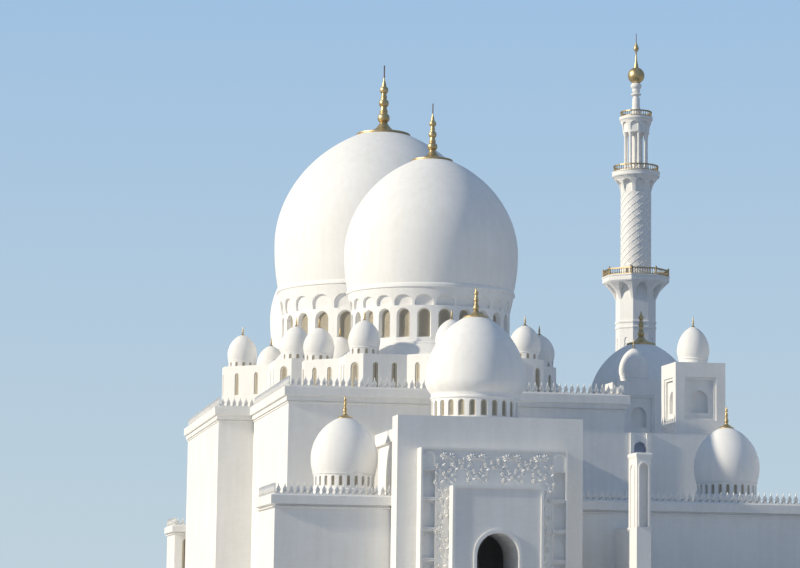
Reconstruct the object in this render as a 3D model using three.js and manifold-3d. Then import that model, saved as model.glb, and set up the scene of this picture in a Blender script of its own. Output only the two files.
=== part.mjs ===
// A great white marble mosque as a 1:10 scale model: 100 mm here is one metre of the building.
// +X is east, +Y is north, +Z is up. The origin is on the ground under the middle of the main dome.
// The plan is symmetrical north and south, so what stands in the south is made again in the north.

import * as THREE from "three";
import { mergeVertices } from "three/addons/utils/BufferGeometryUtils.js";
import Module from "manifold-3d";

const wasm = await Module();
wasm.setup();

// The prayer hall
const FLOOR_TOP = 60;
const HALL_HALF_WIDTH = 2200;
const HALL_HALF_LENGTH = 6200;
const MIDDLE_HALF_WIDTH = 2700;
const MIDDLE_HALF_LENGTH = 2400;
const HALL_WALL = 150;
const WALL_TOP = 2600;
const ROOF_TOP = 2700;
const PARAPET_TOP = 2880;
const PARAPET_WALL = 60;
const CORNICE = { reach: 30, lipFrom: 2780, lipReach: 58 };

// The three great domes on their star-shaped bases
const SIDE_DOME_Y = 4150;
const SIDE = {
  dome: 1195,
  starSide: 1333,
  starTop: 3400,
  ringRadius: 1535,
  smallDome: { radius: 213, neck: 195, drum: 80, height: 470 },
  apronFoot: 1300,
  apronTop: 1120,
  drumBottom: 3570,
  drumRadius: 1090,
  drumFlare: 1150,
  drumInner: 970,
  flareFrom: 4250,
  drumTop: 4420,
  apex: 6310,
  finialRadius: 276,
  finialTop: 7044,
  windows: 24,
  window: { width: 187, sill: 3670, top: 4065 },
};
const MAIN = {
  dome: 1650,
  starSide: 1800,
  starTop: 3660,
  ringRadius: 2120,
  smallDome: { radius: 225, neck: 210, drum: 85, height: 510 },
  apronFoot: 1770,
  apronTop: 1550,
  drumBottom: 3880,
  drumRadius: 1510,
  drumFlare: 1590,
  drumInner: 1370,
  flareFrom: 4700,
  drumTop: 4930,
  apex: 7460,
  finialRadius: 405,
  finialTop: 8452,
  windows: 24,
  window: { width: 245, sill: 3990, top: 4450 },
};
const STAR_WALL = 120;
const STAR_ROOF = 80;
const STAR_CORNER_CUT = 200;
const STAR_WINDOW = { width: 76, height: 330, belowTop: 108, fromMiddle: 0.215 };
const STAR_CORNER_WINDOW_WIDTH = 130;
const SMALL_DOMES = 8;
const DOME_SHELL = 90;

// The north and south portals
const SCREEN = { half: 1140, outer: 8220, inner: 7840, top: 2405 };
const PORTAL_FRAME = { half: 895, outer: 8460, top: 2008 };
const DOOR_FRAME = { half: 550, outer: 8680, top: 1555 };
const FRAME_PANEL = { centre: 795, width: 145, height: 320, tops: [660, 1020, 1380, 1740], depth: 40 };
const DOORWAY = { width: 500, top: 1000 };
const VESTIBULE = { half: 1030, top: 2280, wall: 120, bandFrom: 2130, bandReach: 50 };
const PORTAL_DOME = {
  y: 7260,
  radius: 627,
  bulge: 0.24,
  neck: 545,
  inner: 480,
  bottom: 2280,
  spring: 2750,
  apex: 3770,
  windows: 16,
  window: { width: 110, sill: 2455, top: 2655 },
  finialRadius: 157,
  finialTop: 4090,
};

// The low wings beside the portals
const WING_WALL = 100;
const WING_OUTER_Y = 7800;
const WING_ROOF_TOP = 1400;
const WING_ROOF = 90;
const WING_PARAPET_TOP = 1440;
const WEST_WING_END = 2550;
const EAST_WING_END = 5380;
const WING_DOME = {
  y: 7220,
  westX: -1628,
  eastX: 3260,
  radius: 414,
  neck: 375,
  inner: 320,
  bottom: 1400,
  spring: 1740,
  apex: 2445,
  windows: 12,
  window: { width: 70, sill: 1573, top: 1696 },
  finialRadius: 90,
  finialTop: 2700,
};
const PIER = { west: 1616, east: 1790, inner: 8580, outer: 8950, top: 1970 };
const PIER_NICHE = { width: 100, sill: 1100, top: 1850, depth: 60 };
const PIER_LINK = { inset: 30, top: 1100 };

// The gallery, its four towers and the entrance dome on the east side
const GALLERY_EAST = 3660;
const GALLERY_WALL = 100;
const GALLERY_TOP = 2400;
const GALLERY_WINDOW = { x: 2410, width: 170, sill: 1560, top: 2290 };
const ENTRANCE_HALF = 1000;
const ENTRANCE_EAST = 5000;
const ENTRANCE_TOP = 2700;
const ENTRANCE_DOORWAY = { width: 700, top: 1500 };
const ENTRANCE_DOME = {
  x: 4130,
  radius: 800,
  neck: 745,
  inner: 680,
  bottom: 2700,
  spring: 2980,
  apex: 4260,
  windows: 16,
  window: { width: 130, sill: 2750, top: 2930 },
  finialRadius: 220,
  finialTop: 4765,
};
const TOWER = { x: 3290, ys: [2650, 5650], half: 340, top: 3365, wall: 120, room: 150 };
const TOWER_RECESS = { width: 430, depth: 50, top: 3170, sill: 2600 };
const TOWER_NICHE = { width: 234, depth: 80, top: 3000 };
const TOWER_DOME = { radius: 215, neck: 190, drum: 75, apex: 3880 };

// The minarets
const MINARET = { x: 5900, y: 6800 };
const MINARET_BASE = { half: 520, top: 3600 };
const SHAFT = { half: 343, ringBottom: 5230, ringTop: 5350, top: 5750, neck: 400, neckTop: 5930 };
const FIRST_BALCONY = { half: 574, under: 6060, top: 6180 };
const CYLINDER = { radius: 277, top: 7750 };
const SECOND_BALCONY = { radius: 440, under: 8040, top: 8140 };
const LANTERN = { core: 120, ring: 200, columns: 8, column: 32, top: 8900 };
const THIRD_BALCONY = { radius: 310, under: 9120, top: 9180 };
const MINARET_NECK = {
  foot: 123,
  waist: 70,
  waistFrom: 9400,
  bead: 95,
  beadAt: 9620,
  collar: 100,
  collarAt: 9780,
};
const MINARET_BALL = { radius: 155, centre: 9980 };
const MINARET_STEM = { foot: 50, footAt: 10140, waist: 14, bulb: 50, bulbAt: 10500 };
const MINARET_TIP = 10790;

const ROUND = 24;
const SMALL_ROUND = 8;
const FINIAL_SIDES = 8;
const DOORWAY_STEPS = 6;
const DRUM_SEGMENTS = 4;
const DRUM_JOINT = 0.3;
const THROUGH = 20;

const marble = new THREE.MeshStandardMaterial({ color: 0xebe8e1, roughness: 0.45, metalness: 0 });
const paving = new THREE.MeshStandardMaterial({ color: 0xd9d3c6, roughness: 0.6, metalness: 0 });
const gold = new THREE.MeshStandardMaterial({ color: 0xc79a45, roughness: 0.3, metalness: 1 });

// Closed meshes

function facingOut(position, index) {
  const [a, b, c] = [new THREE.Vector3(), new THREE.Vector3(), new THREE.Vector3()];
  let volume = 0;
  for (let i = 0; i < index.length; i += 3) {
    a.fromBufferAttribute(position, index[i]);
    b.fromBufferAttribute(position, index[i + 1]);
    c.fromBufferAttribute(position, index[i + 2]);
    volume += a.dot(b.cross(c));
  }
  if (volume >= 0) return index;
  const turned = [];
  for (let i = 0; i < index.length; i += 3) {
    turned.push(index[i], index[i + 2], index[i + 1]);
  }
  return turned;
}

function solidOf(geometry) {
  const bare = geometry.clone();
  bare.deleteAttribute("normal");
  bare.deleteAttribute("uv");
  const merged = mergeVertices(bare, 1e-3);
  const corners = [];
  for (let i = 0; i < merged.index.count; i += 3) {
    const face = [merged.index.getX(i), merged.index.getX(i + 1), merged.index.getX(i + 2)];
    if (new Set(face).size === 3) corners.push(...face);
  }
  const position = merged.getAttribute("position");
  return new wasm.Manifold(
    new wasm.Mesh({
      numProp: 3,
      vertProperties: new Float32Array(position.array),
      triVerts: new Uint32Array(facingOut(position, corners)),
    }),
  );
}

function geometryOf(solid) {
  const mesh = solid.getMesh();
  const geometry = new THREE.BufferGeometry();
  geometry.setAttribute("position", new THREE.BufferAttribute(new Float32Array(mesh.vertProperties), 3));
  geometry.setIndex(new THREE.BufferAttribute(new Uint32Array(mesh.triVerts), 1));
  return geometry;
}

function join(...pieces) {
  return geometryOf(pieces.map(solidOf).reduce((whole, piece) => whole.add(piece)));
}

function cut(body, ...holes) {
  return geometryOf(holes.map(solidOf).reduce((rest, hole) => rest.subtract(hole), solidOf(body)));
}

function common(first, second) {
  return geometryOf(solidOf(first).intersect(solidOf(second)));
}

// Simple shapes

function block(x0, x1, y0, y1, z0, z1) {
  const low = new THREE.Vector3(Math.min(x0, x1), Math.min(y0, y1), Math.min(z0, z1));
  const high = new THREE.Vector3(Math.max(x0, x1), Math.max(y0, y1), Math.max(z0, z1));
  const size = high.clone().sub(low);
  const centre = low.add(high).multiplyScalar(0.5);
  return new THREE.BoxGeometry(size.x, size.y, size.z).translate(centre.x, centre.y, centre.z);
}

function prism(points, z0, z1) {
  const shape = new THREE.Shape(points.map(([x, y]) => new THREE.Vector2(x, y)));
  const settings = { depth: z1 - z0, bevelEnabled: false };
  return new THREE.ExtrudeGeometry(shape, settings).translate(0, 0, z0);
}

// A profile is a list of [radius, height] points, turned about the upright axis.
function turned(profile, sides = ROUND) {
  const points = profile.map(([r, z]) => new THREE.Vector2(r, z));
  const halfStep = Math.PI / sides;
  return new THREE.LatheGeometry(points, sides).rotateX(Math.PI / 2).rotateZ(halfStep);
}

// An arched opening as a solid that stands upright and runs from y0 to y1.
function archway(width, sill, top, y0, y1, steps = 1) {
  const half = width / 2;
  const rise = width * 0.56;
  const outline = [[-half, sill]];
  for (let i = 0; i <= 2 * steps; i++) {
    const angle = (Math.PI * i) / (2 * steps);
    outline.push([-half * Math.cos(angle), top - rise + rise * Math.sin(angle)]);
  }
  outline.push([half, sill]);
  const near = Math.min(y0, y1);
  const far = Math.max(y0, y1);
  return prism(outline, 0, far - near).rotateX(Math.PI / 2).translate(0, far, 0);
}

function around(count, make, start = 0) {
  return Array.from({ length: count }, (_, i) => make().rotateZ(start + (2 * Math.PI * i) / count));
}

// Domes, drums and finials

// The outside of a dome from its foot up: a bulge, then a long curve to a slight point.
function domeCurve(radius, foot, spring, apex, steps, bulgeShare = 0.43) {
  const bulge = spring + bulgeShare * radius;
  const rise = apex - bulge;
  const lower = new THREE.QuadraticBezierCurve(
    new THREE.Vector2(foot, spring),
    new THREE.Vector2(radius, spring + 0.47 * bulgeShare * radius),
    new THREE.Vector2(radius, bulge),
  );
  const upper = new THREE.CubicBezierCurve(
    new THREE.Vector2(radius, bulge),
    new THREE.Vector2(radius, bulge + 0.4 * rise),
    new THREE.Vector2(0.66 * radius, bulge + 0.86 * rise),
    new THREE.Vector2(0, apex),
  );
  const points = [...lower.getPoints(Math.max(1, Math.round(steps / 4))), ...upper.getPoints(steps).slice(1)];
  return points.map((point) => [point.x, point.y]);
}

// The curve up to where it has come in to the given radius, which a flat seat then closes.
function cappedDomeCurve(radius, foot, spring, apex, steps, seat, bulgeShare) {
  const curve = domeCurve(radius, foot, spring, apex, steps, bulgeShare);
  const last = curve.findIndex(([r, z]) => z > spring + radius && r < seat);
  const [r0, z0] = curve[last - 1];
  const [r1, z1] = curve[last];
  const seatZ = z0 + ((z1 - z0) * (r0 - seat)) / (r0 - r1);
  return [...curve.slice(0, last), [seat, seatZ]];
}

function domeShell({ radius, foot, spring, apex, seat, inner }, sides = ROUND) {
  const outside = cappedDomeCurve(radius, foot, spring, apex, 7, seat);
  const seatZ = outside[outside.length - 1][1];
  const inside = domeCurve(radius - DOME_SHELL, inner, spring, apex - 1.6 * DOME_SHELL, 3);
  return { geometry: turned([[0, seatZ], ...outside.reverse(), ...inside], sides), seatZ };
}

// A gilt finial: a wide hollow-sided skirt, three bulbs one over the other, and a thin rod.
function finial(radius, bottom, top) {
  const height = top - bottom;
  const bulb = (centre, size, neck) => [
    [neck, centre - size],
    [size, centre - 0.3 * size],
    [0.95 * size, centre + 0.4 * size],
    [neck, centre + size],
  ];
  const profile = [
    [0, 0],
    [1, 0],
    [0.93, 0.02],
    [0.5, 0.07],
    [0.27, 0.145],
    [0.16, 0.19],
  ].map(([r, z]) => [r * radius, z * height]);
  const stack = [
    ...bulb(0.264, 0.079, 0.045),
    ...bulb(0.462, 0.063, 0.035),
    ...bulb(0.642, 0.053, 0.03),
    [0.01, 0.82],
    [0.01, 1],
    [0, 1],
  ].map(([r, z]) => [r * height, z * height]);
  return turned([...profile, ...stack].map(([r, z]) => [r, bottom + z]), FINIAL_SIDES);
}

function smallDome({ radius, neck, drum, height }) {
  return turned([
    [0, 0],
    [neck, 0],
    [neck, drum],
    [radius, drum + 0.5 * radius],
    [0.75 * radius, drum + 1.1 * radius],
    [0, height],
  ], SMALL_ROUND);
}

function windowRing(count, { width, sill, top }, inner, outer) {
  return around(count, () => archway(width, sill, top, -outer, -inner));
}

// Two squares of one size, one turned by 45 degrees, with their corners cut off.
function star(half, cornerCut, z0, z1) {
  const edge = half - cornerCut;
  const square = () =>
    prism([[half, -edge], [half, edge], [edge, half], [-edge, half],
      [-half, edge], [-half, -edge], [-edge, -half], [edge, -half]], z0, z1);
  return join(square(), square().rotateZ(Math.PI / 4));
}

function starWindows(dome) {
  const half = dome.starSide;
  const head = dome.starTop - STAR_WINDOW.belowTop;
  const sill = head - STAR_WINDOW.height;
  const near = half - STAR_WALL - THROUGH;
  const far = half + THROUGH;
  const wallEnd = half - STAR_CORNER_CUT;
  const wallStart = half * (Math.SQRT2 - 1);
  const windows = [];
  for (const share of [0.5 - STAR_WINDOW.fromMiddle, 0.5 + STAR_WINDOW.fromMiddle]) {
    const place = wallStart + share * (wallEnd - wallStart);
    for (const side of [-1, 1]) {
      windows.push(...around(8, () =>
        archway(STAR_WINDOW.width, sill, head, -far, -near).translate(side * place, 0, 0)));
    }
  }
  const corner = (2 * half - STAR_CORNER_CUT) / Math.SQRT2;
  windows.push(...around(8, () =>
    archway(STAR_CORNER_WINDOW_WIDTH, sill, head, -corner - THROUGH, -corner + STAR_WALL + 60)));
  return windows;
}

function starWall(dome) {
  const wallTop = dome.starTop - STAR_ROOF;
  const shell = star(dome.starSide, STAR_CORNER_CUT, ROOF_TOP, wallTop);
  const hollow = star(dome.starSide - STAR_WALL, STAR_CORNER_CUT, ROOF_TOP - THROUGH, wallTop + THROUGH);
  return cut(shell, hollow, ...starWindows(dome));
}

// The roof over the star, rising to the drum, with its eight small domes.
function starRoof(dome) {
  const top = dome.starTop;
  const plate = star(dome.starSide, STAR_CORNER_CUT, top - STAR_ROOF, top);
  const apron = turned([[0, top - THROUGH], [dome.apronFoot, top - THROUGH], [dome.apronFoot, top],
    [dome.apronTop, dome.drumBottom], [0, dome.drumBottom]], dome.windows);
  const domes = around(SMALL_DOMES, () => smallDome(dome.smallDome).translate(0, -dome.ringRadius, top - 1));
  const low = top - STAR_ROOF - THROUGH;
  const high = dome.drumBottom + THROUGH;
  const eye = turned([[0, low], [dome.drumInner, low], [dome.drumInner, high], [0, high]], dome.windows);
  return cut(join(plate, apron, ...domes), eye);
}

function drum(dome) {
  const wall = turned([
    [dome.drumInner, dome.drumBottom],
    [dome.drumRadius, dome.drumBottom],
    [dome.drumRadius, dome.flareFrom],
    [dome.drumFlare, dome.drumTop],
    [dome.drumInner, dome.drumTop],
    [dome.drumInner, dome.drumBottom],
  ], dome.windows);
  return cut(wall, ...windowRing(dome.windows, dome.window, dome.drumInner - THROUGH, dome.drumFlare));
}

// The windowed ring in equal segments, parted by narrow upright joints that pass between the windows.
function drumSegments(dome) {
  const ring = drum(dome);
  const reach = 2 * dome.drumFlare;
  const halfJoint = DRUM_JOINT / 2 / dome.drumInner;
  const step = (2 * Math.PI) / DRUM_SEGMENTS;
  const first = Math.PI / dome.windows - Math.PI / 2;
  return Array.from({ length: DRUM_SEGMENTS }, (_, i) => {
    const start = first + i * step + halfJoint;
    const corners = [0, 1, 2, 3].map((part) => {
      const angle = start + (part * (step - 2 * halfJoint)) / 3;
      return [reach * Math.cos(angle), reach * Math.sin(angle)];
    });
    return common(ring, prism([[0, 0], ...corners], dome.drumBottom - THROUGH, dome.drumTop + THROUGH));
  });
}

function greatDome(dome) {
  return domeShell({
    radius: dome.dome,
    foot: dome.drumFlare,
    spring: dome.drumTop,
    apex: dome.apex,
    seat: dome.finialRadius,
    inner: dome.drumInner + 30,
  }, dome.windows);
}

// A smaller dome and the windowed drum under it, as one shell.
function drumAndDome(dome) {
  const outside = cappedDomeCurve(dome.radius, dome.neck + 15, dome.spring, dome.apex, 5, dome.finialRadius,
    dome.bulge);
  const seatZ = outside[outside.length - 1][1];
  const inside = domeCurve(dome.radius - DOME_SHELL, dome.inner, dome.spring, dome.apex - 1.6 * DOME_SHELL, 2);
  const shell = turned([
    [0, seatZ],
    ...outside.reverse(),
    [dome.neck, dome.spring - 20],
    [dome.neck, dome.bottom],
    [dome.inner, dome.bottom],
    ...inside,
  ], dome.windows);
  const windows = windowRing(dome.windows, dome.window, dome.inner - THROUGH, dome.neck + 15);
  const height = dome.finialTop - seatZ;
  const spike = turned([
    [0, seatZ - 1],
    [0.9 * dome.finialRadius, seatZ - 1],
    [0.2 * dome.finialRadius, seatZ + 0.2 * height],
    [0.3 * dome.finialRadius, seatZ + 0.35 * height],
    [0.05 * dome.finialRadius, dome.finialTop],
    [0, dome.finialTop],
  ], FINIAL_SIDES);
  return join(cut(shell, ...windows), spike);
}

// The model

const mosque = new THREE.Group();

function place(name, geometry, material = marble, x = 0, y = 0) {
  const flat = geometryOf(solidOf(geometry)).toNonIndexed();
  flat.computeVertexNormals();
  const mesh = new THREE.Mesh(flat, material);
  mesh.name = name;
  mesh.position.set(x, y, 0);
  mosque.add(mesh);
}

function hallOutline(reach) {
  const narrow = HALL_HALF_WIDTH + reach;
  const wide = MIDDLE_HALF_WIDTH + reach;
  const long = HALL_HALF_LENGTH + reach;
  const middle = MIDDLE_HALF_LENGTH + reach;
  return [[narrow, -long], [narrow, -middle], [wide, -middle], [wide, middle], [narrow, middle], [narrow, long],
    [-narrow, long], [-narrow, middle], [-wide, middle], [-wide, -middle], [-narrow, -middle], [-narrow, -long]];
}

// The footprint of everything that stands on the ground.
function floor() {
  const pieces = [
    prism(hallOutline(0), 0, FLOOR_TOP),
    block(0, ENTRANCE_EAST, -ENTRANCE_HALF, ENTRANCE_HALF, 0, FLOOR_TOP),
    block(0, GALLERY_EAST, -HALL_HALF_LENGTH, HALL_HALF_LENGTH, 0, FLOOR_TOP),
  ];
  for (const side of [-1, 1]) {
    const inner = side * (HALL_HALF_LENGTH - 100);
    const { x, y } = MINARET;
    const half = MINARET_BASE.half;
    pieces.push(
      block(-WEST_WING_END, EAST_WING_END + 1, inner, side * WING_OUTER_Y, 0, FLOOR_TOP),
      block(-SCREEN.half, SCREEN.half, inner, side * SCREEN.outer, 0, FLOOR_TOP),
      block(-PORTAL_FRAME.half, PORTAL_FRAME.half, inner, side * PORTAL_FRAME.outer, 0, FLOOR_TOP),
      block(-DOOR_FRAME.half, DOOR_FRAME.half, inner, side * DOOR_FRAME.outer, 0, FLOOR_TOP),
      block(PIER.west, PIER.east, inner, side * PIER.outer, 0, FLOOR_TOP),
      block(x - half, x + half, side * y - half, side * y + half, 0, FLOOR_TOP),
    );
  }
  return join(...pieces);
}

function endWall(side) {
  const outer = side * HALL_HALF_LENGTH;
  const inner = side * (HALL_HALF_LENGTH - HALL_WALL);
  const wall = block(-HALL_HALF_WIDTH, HALL_HALF_WIDTH, outer, inner, FLOOR_TOP, WALL_TOP);
  const doorway = archway(DOORWAY.width, FLOOR_TOP - THROUGH, DOORWAY.top, outer + side * THROUGH,
    inner - side * THROUGH, DOORWAY_STEPS);
  return cut(wall, doorway);
}

// The long walls step out round the middle dome.
function longWall(side, arches) {
  const end = HALL_HALF_LENGTH - HALL_WALL;
  const [narrow, wide, middle] = [HALL_HALF_WIDTH, MIDDLE_HALF_WIDTH, MIDDLE_HALF_LENGTH];
  const outline = [
    [narrow, -end],
    [narrow, -middle],
    [wide, -middle],
    [wide, middle],
    [narrow, middle],
    [narrow, end],
    [narrow - HALL_WALL, end],
    [narrow - HALL_WALL, middle - HALL_WALL],
    [wide - HALL_WALL, middle - HALL_WALL],
    [wide - HALL_WALL, HALL_WALL - middle],
    [narrow - HALL_WALL, HALL_WALL - middle],
    [narrow - HALL_WALL, -end],
  ];
  const wall = prism(outline.map(([x, y]) => [side * x, y]), FLOOR_TOP, WALL_TOP);
  const upright = arches.map(({ y, width, top, out }) => {
    const hole = archway(width, FLOOR_TOP - THROUGH, top, -THROUGH, HALL_WALL + THROUGH, DOORWAY_STEPS);
    return hole.rotateZ((side * Math.PI) / 2).translate(side * out, y, 0);
  });
  return arches.length ? cut(wall, ...upright) : wall;
}

function roofOver(y0, y1, half, dome, y) {
  const slab = block(-half, half, y0, y1, WALL_TOP, ROOF_TOP);
  const eye = turned([[0, WALL_TOP - THROUGH], [dome.drumInner, WALL_TOP - THROUGH],
    [dome.drumInner, ROOF_TOP + THROUGH], [0, ROOF_TOP + THROUGH]], dome.windows);
  return cut(slab, eye.translate(0, y, 0));
}

function parapet() {
  const ring = join(
    prism(hallOutline(CORNICE.reach), ROOF_TOP, CORNICE.lipFrom),
    prism(hallOutline(CORNICE.lipReach), CORNICE.lipFrom, PARAPET_TOP),
  );
  return cut(ring, prism(hallOutline(-PARAPET_WALL), ROOF_TOP - THROUGH, PARAPET_TOP + THROUGH));
}

function portalScreen(side) {
  const { half, outer, inner, top } = SCREEN;
  const body = join(
    block(-half, half, side * inner, side * outer, FLOOR_TOP, top),
    block(-PORTAL_FRAME.half, PORTAL_FRAME.half, side * inner, side * PORTAL_FRAME.outer, FLOOR_TOP,
      PORTAL_FRAME.top),
    block(-DOOR_FRAME.half, DOOR_FRAME.half, side * inner, side * DOOR_FRAME.outer, FLOOR_TOP, DOOR_FRAME.top),
  );
  const doorway = archway(DOORWAY.width, FLOOR_TOP - THROUGH, DOORWAY.top, side * (inner - THROUGH),
    side * (DOOR_FRAME.outer + THROUGH), DOORWAY_STEPS);
  const { centre, width, height, tops, depth } = FRAME_PANEL;
  const face = side * PORTAL_FRAME.outer;
  const panels = [-1, 1].flatMap((hand) => tops.map((panelTop) =>
    block(hand * centre - width / 2, hand * centre + width / 2, face - side * depth, face + side * THROUGH,
      panelTop - height, panelTop)));
  return cut(body, doorway, ...panels);
}

function vestibule(side) {
  const { half, top, wall, bandFrom, bandReach } = VESTIBULE;
  const [near, far] = [side * HALL_HALF_LENGTH, side * SCREEN.inner];
  const body = join(
    block(-half, half, near, far, FLOOR_TOP, top),
    block(-half - bandReach, half + bandReach, near, far, bandFrom, top),
  );
  const room = block(wall - half, half - wall, side * (HALL_HALF_LENGTH - THROUGH),
    side * (SCREEN.inner + THROUGH), FLOOR_TOP - THROUGH, top - wall);
  const { inner, bottom, windows, y } = PORTAL_DOME;
  const eye = turned([[0, top - wall - THROUGH], [inner, top - wall - THROUGH], [inner, bottom + THROUGH],
    [0, bottom + THROUGH]], windows);
  return cut(body, room, eye.translate(0, side * y, 0));
}

function wingRoofEye(x, side) {
  const low = WING_ROOF_TOP - WING_ROOF - THROUGH;
  const high = WING_PARAPET_TOP + THROUGH;
  return turned([[0, low], [WING_DOME.inner, low], [WING_DOME.inner, high], [0, high]], WING_DOME.windows)
    .translate(x, side * WING_DOME.y, 0);
}

// A tall pier beside the portal, with a niche in its end, and the low wall that links it to the wing.
function pierAndLink(side) {
  const { west, east, inner, outer, top } = PIER;
  const pier = block(west, east, side * inner, side * outer, FLOOR_TOP, top);
  const niche = archway(PIER_NICHE.width, PIER_NICHE.sill, PIER_NICHE.top, side * (outer - PIER_NICHE.depth),
    side * (outer + THROUGH), 3).translate((west + east) / 2, 0, 0);
  const link = block(west + PIER_LINK.inset, east - PIER_LINK.inset, side * (WING_OUTER_Y - WING_WALL),
    side * (inner + THROUGH), FLOOR_TOP, PIER_LINK.top);
  return join(cut(pier, niche), link);
}

// Walls and roof of a low wing, open to the hall and the vestibule whose walls close its other sides.
function wing(x0, x1, side, domeX, freeFrom) {
  const outer = side * WING_OUTER_Y;
  const back = side * HALL_HALF_LENGTH;
  const [near, far] = Math.abs(x0) < Math.abs(x1) ? [x0, x1] : [x1, x0];
  const hand = Math.sign(far);
  const body = block(near, far, back, outer, FLOOR_TOP, WING_PARAPET_TOP);
  const room = block(near - hand * THROUGH, far - hand * WING_WALL, side * (HALL_HALF_LENGTH - THROUGH),
    outer - side * WING_WALL, FLOOR_TOP - THROUGH, WING_ROOF_TOP - WING_ROOF);
  const terrace = block(near - hand * THROUGH, far - hand * PARAPET_WALL, side * (HALL_HALF_LENGTH - THROUGH),
    outer - side * PARAPET_WALL, WING_ROOF_TOP, WING_PARAPET_TOP + THROUGH);
  const shell = cut(body, room, terrace, wingRoofEye(domeX, side));
  if (freeFrom === undefined) return shell;
  const courtWall = block(freeFrom, far - hand * WING_WALL / 2, back, back + side * WING_WALL, FLOOR_TOP,
    WING_ROOF_TOP - WING_ROOF / 2);
  return join(shell, courtWall, pierAndLink(side));
}

// Half of the gallery along the east side: an outer wall, two end walls and the roof.
function gallery(side) {
  const outline = [
    [HALL_HALF_WIDTH, HALL_HALF_LENGTH],
    [GALLERY_EAST, HALL_HALF_LENGTH],
    [GALLERY_EAST, ENTRANCE_HALF],
    [MIDDLE_HALF_WIDTH, ENTRANCE_HALF],
    [MIDDLE_HALF_WIDTH, MIDDLE_HALF_LENGTH],
    [HALL_HALF_WIDTH, MIDDLE_HALF_LENGTH],
  ];
  const body = prism(outline.map(([x, y]) => [x, side * y]), FLOOR_TOP, GALLERY_TOP);
  const east = GALLERY_EAST - GALLERY_WALL;
  const roofUnder = GALLERY_TOP - GALLERY_WALL;
  const room = join(
    block(HALL_HALF_WIDTH - THROUGH, east, side * (MIDDLE_HALF_LENGTH - THROUGH),
      side * (HALL_HALF_LENGTH - GALLERY_WALL), FLOOR_TOP - THROUGH, roofUnder),
    block(MIDDLE_HALF_WIDTH - THROUGH, east, side * (ENTRANCE_HALF - THROUGH), side * (MIDDLE_HALF_LENGTH + 50),
      FLOOR_TOP - THROUGH, roofUnder),
  );
  const { x, width, sill, top } = GALLERY_WINDOW;
  const window = archway(width, sill, top, side * (HALL_HALF_LENGTH - GALLERY_WALL - THROUGH),
    side * (HALL_HALF_LENGTH + THROUGH), 2).translate(x, 0, 0);
  return cut(body, room, window);
}

function entranceBlock() {
  const wall = VESTIBULE.wall;
  const body = block(MIDDLE_HALF_WIDTH, ENTRANCE_EAST, -ENTRANCE_HALF, ENTRANCE_HALF, FLOOR_TOP, ENTRANCE_TOP);
  const room = block(MIDDLE_HALF_WIDTH - THROUGH, ENTRANCE_EAST - wall, wall - ENTRANCE_HALF,
    ENTRANCE_HALF - wall, FLOOR_TOP - THROUGH, ENTRANCE_TOP - wall);
  const doorway = archway(ENTRANCE_DOORWAY.width, FLOOR_TOP - THROUGH, ENTRANCE_DOORWAY.top, -THROUGH,
    wall + THROUGH, DOORWAY_STEPS).rotateZ(Math.PI / 2).translate(ENTRANCE_EAST, 0, 0);
  const { inner, x, windows } = ENTRANCE_DOME;
  const low = ENTRANCE_TOP - wall - THROUGH;
  const high = ENTRANCE_TOP + THROUGH;
  const eye = turned([[0, low], [inner, low], [inner, high], [0, high]], windows).translate(x, 0, 0);
  return cut(body, room, doorway, eye);
}

function tower() {
  const { half, top, wall, room: halfRoom } = TOWER;
  const body = block(-half, half, -half, half, GALLERY_TOP, top);
  const recesses = around(4, () => block(-TOWER_RECESS.width / 2, TOWER_RECESS.width / 2, -half - THROUGH,
    TOWER_RECESS.depth - half, TOWER_RECESS.sill, TOWER_RECESS.top));
  const niches = around(4, () => archway(TOWER_NICHE.width, TOWER_RECESS.sill, TOWER_NICHE.top, -half,
    TOWER_RECESS.depth + TOWER_NICHE.depth - half, 3));
  const room = block(-halfRoom, halfRoom, -halfRoom, halfRoom, GALLERY_TOP - THROUGH, top - wall);
  const { radius, neck, drum: drumHeight, apex } = TOWER_DOME;
  const dome = smallDome({ radius, neck, drum: drumHeight, height: apex - top }).translate(0, 0, top - 1);
  return join(cut(body, room, ...recesses, ...niches), dome);
}

function octagon(half, z) {
  return [half / Math.cos(Math.PI / 8), z];
}

// The square foot and the eight-sided shaft, up to the first balcony.
function minaretShaft() {
  const { half, top } = MINARET_BASE;
  const foot = block(-half, half, -half, half, FLOOR_TOP, top);
  const { ringBottom, ringTop } = SHAFT;
  const shaft = turned([
    [0, top - THROUGH],
    octagon(SHAFT.half, top - THROUGH),
    octagon(SHAFT.half, ringBottom - 20),
    octagon(SHAFT.half + 15, ringBottom),
    octagon(SHAFT.half + 15, ringTop),
    octagon(SHAFT.half, ringTop + 20),
    octagon(SHAFT.half, SHAFT.top),
    octagon(SHAFT.neck, SHAFT.neckTop),
    octagon(FIRST_BALCONY.half, FIRST_BALCONY.under),
    octagon(FIRST_BALCONY.half, FIRST_BALCONY.top),
    [0, FIRST_BALCONY.top],
  ], 8);
  return join(foot, shaft);
}

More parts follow.
